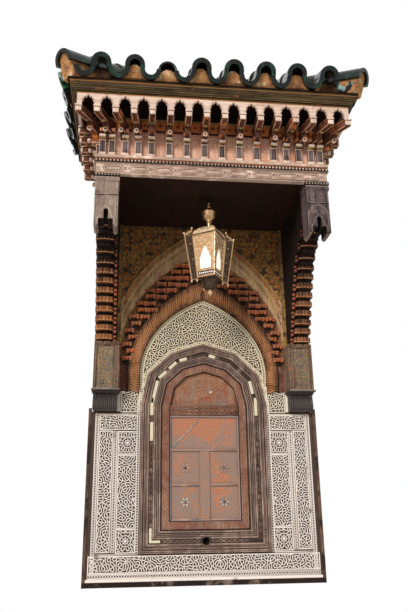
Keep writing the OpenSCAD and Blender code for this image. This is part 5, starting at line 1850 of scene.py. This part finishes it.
def make_lantern():
    put = partial(put_piece, slot="lantern_brass", body="lantern")
    s = size()
    rng = random.Random(s.seed + 6)
    centre = (0, -LANTERN_Y, 0)
    high = CAGE_TOP - CAGE_FOOT
    flat_foot, flat_top = (r * cos(pi / 4) for r in CAGE_RADII)
    lean = atan((flat_top - flat_foot) / high)

    def on_face(item):
        """Stands a facade drawing, with z from the cage's foot, on the side of the lantern that faces +X."""
        item.data.transform(Matrix.Translation((flat_foot, 0, CAGE_FOOT)) @ turned(lean, "Y") @ QUARTER)
        return item

    def half_at(z):
        return flat_foot + (flat_top - flat_foot) * z / high
    w, h0, h = 0.046, 0.0616, 0.18
    right = [(w, h0), (w, h0 + h * 0.5), (w * 0.85, h0 + h * 0.56), (w * 0.74, h0 + h * 0.66),
        (w * 0.2, h0 + h * 0.96), (0, h0 + h)]
    window = right + [(-x, z) for x, z in reversed(right[:-1])]

    def pierced(x, z):
        on_sheet = abs(x) < half_at(z) - 0.01 and 0.052 < z < high - 0.012
        return on_sheet and not inside(window, x, z) and gap(window + window[:1], x, z) >= 0.007
    frames = on_face(strand([window], 0.003, 0.001, True))
    trims = [[(-half_at(z) + 0.003, z), (half_at(z) - 0.003, z)] for z in (0.01, 0.048, high - 0.008)]
    bars = on_face(strand(trims, 0.003, 0.001))
    filigree = on_face(labyrinth((pierced,), (-0.086, 0.05, 0.086, high), 0.0088, 0.0021, 0.001, rng,
        flat=False))
    put(lantern_unit(join(frames, bars)), "brass_pale", "lantern_window_frames")
    put(lantern_unit(filigree), "brass_pale", "lantern_filigree")
    dark = on_face(plate([(-0.064, 0.014), (0.064, 0.014), (0.065, 0.044), (-0.065, 0.044)], -0.001, 0.0008))
    put(lantern_unit(dark), "copper", "lantern_strip_ground")
    # The pierced dots glow: painted light through the strip.
    holes = [rect(x - 0.0036, 0.024, x + 0.0036, 0.034) for x in (-0.051 + 0.017 * k for k in range(7))]
    dots = on_face(join(*[plate(line, -0.001, 0.0014, steps=((0.001, 0.0004),)) for line in holes]))
    put(lantern_unit(dots), "glass", "lantern_pierced_strip", slot="lantern_glass")

    # rolls over the corners
    foot_r, top_r = CAGE_RADII
    edge = strand([[(foot_r + 0.001, CAGE_FOOT), (top_r + 0.001, CAGE_TOP)]], 0.0045, 0, round_steps=1)
    corners = [Matrix.Translation(centre) @ turned(CAGE_TURN + radians(90 * k - 90), "Z") for k in range(4)]
    put(smooth(copies(edge, corners), 50), "brass_pale", "lantern_corner_rolls")

    # fins: dark sheets between two rods, with a scroll, knobs and drops
    sheet = plate([(foot_r + 0.008, CAGE_FOOT - 0.012), (foot_r + 0.046, CAGE_FOOT - 0.02),
        (top_r + 0.07, CAGE_TOP - 0.012), (top_r + 0.016, CAGE_TOP + 0.03), (top_r + 0.012, CAGE_TOP - 0.04)],
        -0.0033, 0.0033)
    rods = strand([[(0.102, 2.176), (0.128, 2.36), (0.143, 2.585)],
        [(0.145, 2.168), (0.176, 2.36), (0.206, 2.532)], [(0.104, 2.178), (0.145, 2.17)],
        [(0.145, 2.58), (0.178, 2.56), (0.205, 2.53)]], 0.0036, 0, round_steps=1)
    curls = strand([scroll(0.168, 2.52, 0.02, 0.5, 1, 9), scroll(0.152, 2.45, 0.014, 2.5, -1, 9),
        scroll(0.138, 2.33, 0.011, 0.5, 1, 9)], 0.0042, 0, round_steps=1)
    knob = [(0, 0.018), (0.005, 0.016), (0.008, 0.009), (0.005, 0.002), (0.003, -0.004), (0, -0.006)][::-1]
    knobs = [lathe([(r, z + height) for r, z in knob], (radius, 0, 0), 8)
        for radius, height in ((0.143, 2.588), (0.206, 2.536), (0.103, 2.158), (0.145, 2.15))]
    fin = join(paint(sheet, "copper"), paint(rods, "brass"), paint(curls, "brass"),
        *[paint(k, "brass_pale") for k in knobs])
    put(smooth(copies(fin, corners[1:]), 50), None, "lantern_fins")

    # rolled edge and hips of the cap
    rim = [(0.137 * cos(tau * k / 4), 0.137 * sin(tau * k / 4)) for k in range(4)]
    rolled = strand([rim], 0.0038, 2.54, True, 1, "plan")
    hips = strand([[(0.131, 2.547), (0.1194, 2.5745), (0.0787, 2.6055), (0.02, 2.629)]], 0.0034, 0,
        round_steps=1)
    rolled.data.transform(corners[0])
    put(smooth(rolled, 50), "copper", "lantern_cap_edge")
    put(smooth(copies(hips, corners), 50), "brass_pale", "lantern_cap_hips")

    # turned ball, its collars, and the cup and finial under the floor
    ball = [(0, 2.655), (0.02, 2.655), (0.023, 2.662), (0.019, 2.67), (0.03, 2.684), (0.046, 2.706),
        (0.0565, 2.73), (0.061, 2.738), (0.062, 2.746), (0.057, 2.752), (0.048, 2.768), (0.032, 2.784),
        (0.016, 2.792), (0.018, 2.798), (0.012, 2.803), (0, 2.803)]
    put(smooth(lathe(ball, centre, 28), 45), "brass", "lantern_ball")
    cup = [(0, 2.095), (0.022, 2.099), (0.038, 2.108), (0.046, 2.122), (0.051, 2.13), (0.051, 2.138),
        (0.047, 2.143), (0.052, 2.168), (0.058, 2.175), (0.058, 2.184), (0, 2.184)]
    tip = [(0, 2.055), (0.005, 2.061), (0.012, 2.068), (0.017, 2.077), (0.014, 2.086), (0.011, 2.093),
        (0.016, 2.1), (0, 2.104)]
    floor = block((-0.0672, -0.0672, 2.181), (0.0672, 0.0672, 2.193), 0.003)
    floor.data.transform(corners[0] @ turned(pi / 4, "Z"))
    under = join(paint(lathe(cup, centre, 28), "copper"), paint(lathe(tip, centre, 20), "brass_pale"),
        paint(floor, "copper"))
    put(smooth(under, 45), None, "lantern_turnings", replaces=("lantern_base",))


def inside(polygon, x, z):
    """Whether a point lies within a closed line."""
    odd = False
    for (ax, az), (bx, bz) in zip(polygon, polygon[1:] + polygon[:1]):
        if (az > z) != (bz > z) and x < ax + (bx - ax) * (z - az) / (bz - az):
            odd = not odd
    return odd


# Finishes of the solids


SOLID_FINISHES = {
    "plaster_ground": "plaster_surround", "edge": "edge_strips", "foot": "foot_board", "sill": "frame_sill",
    "frame": "frame_stiles frame_head", "inner": "inner_frame", "lunette": "lunette_panel",
    "transom": "transom_rail",
    "shutter": "shutter_frame shutter_panels", "spandrel": "spandrel_board", "mouldings": "arch_mouldings",
    "soot": "stalactite_arch", "ribbed": "ribbed_arch", "corbel": "corbel_left corbel_right",
    "pilaster": "pilaster_left pilaster_right", "lobe": "bracket_left bracket_right", "post": "post_left",
    # The right post gets the darker finish: painted shade.
    "post_weathered": "post_right", "soffit": "soffit_boards roof_deck back_boards",
    "entablature": "architrave_front",
    "entablature_side": "architrave_left architrave_right", "frieze": "frieze_front frieze_left frieze_right",
    "beam": "beams_front beams_left beams_right", "arcade": "arcade_front arcade_left arcade_right",
    "cornice": "cornice", "mortar": "tile_bedding hip_bedding",
    "glaze": "roof_tiles_front roof_tiles_left roof_tiles_right hip_tiles", "iron": "ceiling_hook",
    "brass": "lantern_rod lantern_cage lantern_base", "brass_pale": "lantern_cap", "glass": "lantern_glass",
}


def finish_solids():
    for tone, names in SOLID_FINISHES.items():
        for name in names.split():
            paint(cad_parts[name], tone)


# Stage


CAMERA_AT = (-0.5729, -5.0642, 0.4196)
CAMERA_YAW, CAMERA_PITCH, CAMERA_ROLL = 6.631, 18.861, -0.833
CAMERA_LENS = 37.65
FLOOR_SIZE, FLOOR_DROP = 9, 1.18
LAMP_STRENGTH, SKY_STRENGTH = 2.5, 0.5


def set_stage():
    bpy.ops.mesh.primitive_grid_add(x_subdivisions=8, y_subdivisions=8, size=FLOOR_SIZE,
        location=(0, -1, -FLOOR_DROP))
    floor = apply_place(bpy.context.active_object)
    floor.name = "stage_floor"

    def build(tree):
        where = spot_of(tree)
        cloud = noise(tree, where, 1.5, 3)
        return mix(tree, ramp(tree, cloud, 0.3, 0.7, 0, 0.08), colour("floor"), (0.75, 0.75, 0.75, 1)), cloud
    floor.data.materials.append(surface("stage_floor", build, 0.9, 0.02))

    scene = bpy.context.scene
    world = bpy.data.worlds.new("Studio")
    scene.world = world
    world.use_nodes = True
    tree = world.node_tree
    tree.nodes.clear()
    ray = add(tree, "LightPath").outputs
    seen = sums(tree, "MAXIMUM", ray["Is Camera Ray"],
        sums(tree, "MAXIMUM", ray["Is Glossy Ray"], ray["Is Transmission Ray"]))
    soft = add(tree, "Background", {"Color": (1, 0.985, 0.96, 1), "Strength": SKY_STRENGTH})
    white = add(tree, "Background", {"Color": (1, 1, 1, 1), "Strength": 1})
    both = add(tree, "MixShader", {0: seen, 1: soft.outputs[0], 2: white.outputs[0]})
    tree.links.new(both.outputs[0], add(tree, "OutputWorld").inputs[0])

    bpy.ops.object.light_add(type="SUN", rotation=(radians(64), 0, radians(-32)))
    lamp = bpy.context.active_object
    lamp.name = "key_light"
    lamp.data.energy = LAMP_STRENGTH
    lamp.data.angle = radians(22)
    lamp.data.color = (1, 0.97, 0.92)

    yaw, pitch, roll = (radians(v) for v in (CAMERA_YAW, CAMERA_PITCH, CAMERA_ROLL))
    ahead = Vector((sin(yaw) * cos(pitch), cos(yaw) * cos(pitch), sin(pitch)))
    across = Vector((cos(yaw), -sin(yaw), 0))
    up = across.cross(ahead)
    right = across * cos(roll) + up * sin(roll)
    top = -across * sin(roll) + up * cos(roll)
    camera = bpy.data.objects.new("camera", bpy.data.cameras.new("camera"))
    scene.collection.objects.link(camera)
    turn = Matrix((right, top, -ahead)).transposed().to_4x4()
    camera.matrix_world = Matrix.Translation(CAMERA_AT) @ turn
    camera.data.lens = CAMERA_LENS
    camera.data.sensor_width = 36
    camera.data.sensor_fit = "AUTO"
    camera.data.clip_end = 100
    scene.camera = camera
    scene.view_settings.view_transform = "Standard"


# Operators


class BAY_OT_stage(bpy.types.Operator):
    """Set the floor, the light and the camera."""

    bl_idname = "bay.stage"
    bl_label = "Stage"

    def execute(self, context):
        set_stage()
        return {"FINISHED"}


class BAY_OT_solids(bpy.types.Operator):
    """Give every solid its finish."""

    bl_idname = "bay.solids"
    bl_label = "Finishes of the solids"

    def execute(self, context):
        finish_solids()
        return {"FINISHED"}


class BAY_OT_plaster(bpy.types.Operator):
    """Carve the borders, chains, medallions and arabesques of the plaster."""

    bl_idname = "bay.plaster"
    bl_label = "Plaster carving"

    def execute(self, context):
        carve_plaster()
        return {"FINISHED"}


class BAY_OT_window_frame(bpy.types.Operator):
    """Add the mouldings, inlay, knots and carved inner frame."""

    bl_idname = "bay.window_frame"
    bl_label = "Window frame"

    def execute(self, context):
        carve_frame()
        return {"FINISHED"}


class BAY_OT_lunette(bpy.types.Operator):
    """Carve the shell of the lunette and the transom."""

    bl_idname = "bay.lunette"
    bl_label = "Lunette and transom"

    def execute(self, context):
        carve_lunette()
        return {"FINISHED"}


class BAY_OT_shutter(bpy.types.Operator):
    """Carve the borders, ornament and rosettes of the shutter."""

    bl_idname = "bay.shutter"
    bl_label = "Shutter"

    def execute(self, context):
        carve_shutter()
        return {"FINISHED"}


class BAY_OT_arch(bpy.types.Operator):
    """Add the rope, scrolls, stalactite cells and ribs of the arch."""

    bl_idname = "bay.arch"
    bl_label = "Arch"

    def execute(self, context):
        carve_arch()
        return {"FINISHED"}


class BAY_OT_brackets(bpy.types.Operator):
    """Build the lobed tiers of both brackets."""

    bl_idname = "bay.brackets"
    bl_label = "Brackets"

    def execute(self, context):
        carve_brackets()
        return {"FINISHED"}


class BAY_OT_pilasters(bpy.types.Operator):
    """Add the panels of the pilasters and the ribs of the corbels."""

    bl_idname = "bay.pilasters"
    bl_label = "Pilasters and corbels"

    def execute(self, context):
        carve_pilasters()
        return {"FINISHED"}


class BAY_OT_posts(bpy.types.Operator):
    """Carve the hanging posts."""

    bl_idname = "bay.posts"
    bl_label = "Posts"

    def execute(self, context):
        carve_posts()
        return {"FINISHED"}


class BAY_OT_architrave(bpy.types.Operator):
    """Add the cartouches and ropes of the architrave."""

    bl_idname = "bay.architrave"
    bl_label = "Architrave"

    def execute(self, context):
        carve_architrave()
        return {"FINISHED"}


class BAY_OT_frieze(bpy.types.Operator):
    """Add the columns, bosses, panels and painted squares."""

    bl_idname = "bay.frieze"
    bl_label = "Frieze"

    def execute(self, context):
        carve_frieze()
        return {"FINISHED"}


class BAY_OT_beams(bpy.types.Operator):
    """Add the beam ends, the arcade's edging and the cornice lines."""

    bl_idname = "bay.beams"
    bl_label = "Beams and cornice"

    def execute(self, context):
        carve_beams()
        return {"FINISHED"}


class BAY_OT_roof(bpy.types.Operator):
    """Lay the glazed tiles, their mortar and the hip caps."""

    bl_idname = "bay.roof"
    bl_label = "Roof"

    def execute(self, context):
        lay_roof()
        return {"FINISHED"}


class BAY_OT_lantern(bpy.types.Operator):
    """Add the lantern's filigree, fins, crown and turnings."""

    bl_idname = "bay.lantern"
    bl_label = "Lantern"

    def execute(self, context):
        make_lantern()
        return {"FINISHED"}


OPERATORS = (BAY_OT_stage, BAY_OT_solids, BAY_OT_plaster, BAY_OT_window_frame, BAY_OT_lunette, BAY_OT_shutter,
    BAY_OT_arch, BAY_OT_brackets, BAY_OT_pilasters, BAY_OT_posts, BAY_OT_architrave, BAY_OT_frieze,
    BAY_OT_beams, BAY_OT_roof, BAY_OT_lantern)


class BAY_PT_panel(bpy.types.Panel):
    """Lists the steps in the 3D view's sidebar."""

    bl_idname = "BAY_PT_panel"
    bl_label = "Window bay"
    bl_space_type = "VIEW_3D"
    bl_region_type = "UI"
    bl_category = "Window bay"

    def draw(self, context):
        settings = context.scene.window_bay
        for step in OPERATORS:
            self.layout.operator(step.bl_idname)
        for name in BaySizes.__annotations__:
            self.layout.prop(settings.sizes, name)
        for entry in settings.palette:
            self.layout.prop(entry, "value", text=entry.about)


CLASSES = (BaySizes, BayColour, BaySettings, *OPERATORS, BAY_PT_panel)


def register():
    for item in CLASSES:
        bpy.utils.register_class(item)
    bpy.types.Scene.window_bay = PointerProperty(type=BaySettings)


def unregister():
    del bpy.types.Scene.window_bay
    for item in reversed(CLASSES):
        bpy.utils.unregister_class(item)


def main():
    register()
    palette = bpy.context.scene.window_bay.palette
    for name, (code, about) in PALETTE.items():
        entry = palette.add()
        entry.name = name
        entry.about = about
        entry.value = srgb(code)
    for step in OPERATORS:
        getattr(bpy.ops.bay, step.bl_idname.split(".")[1])()
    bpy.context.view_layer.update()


if __name__ == "__main__":
    main()
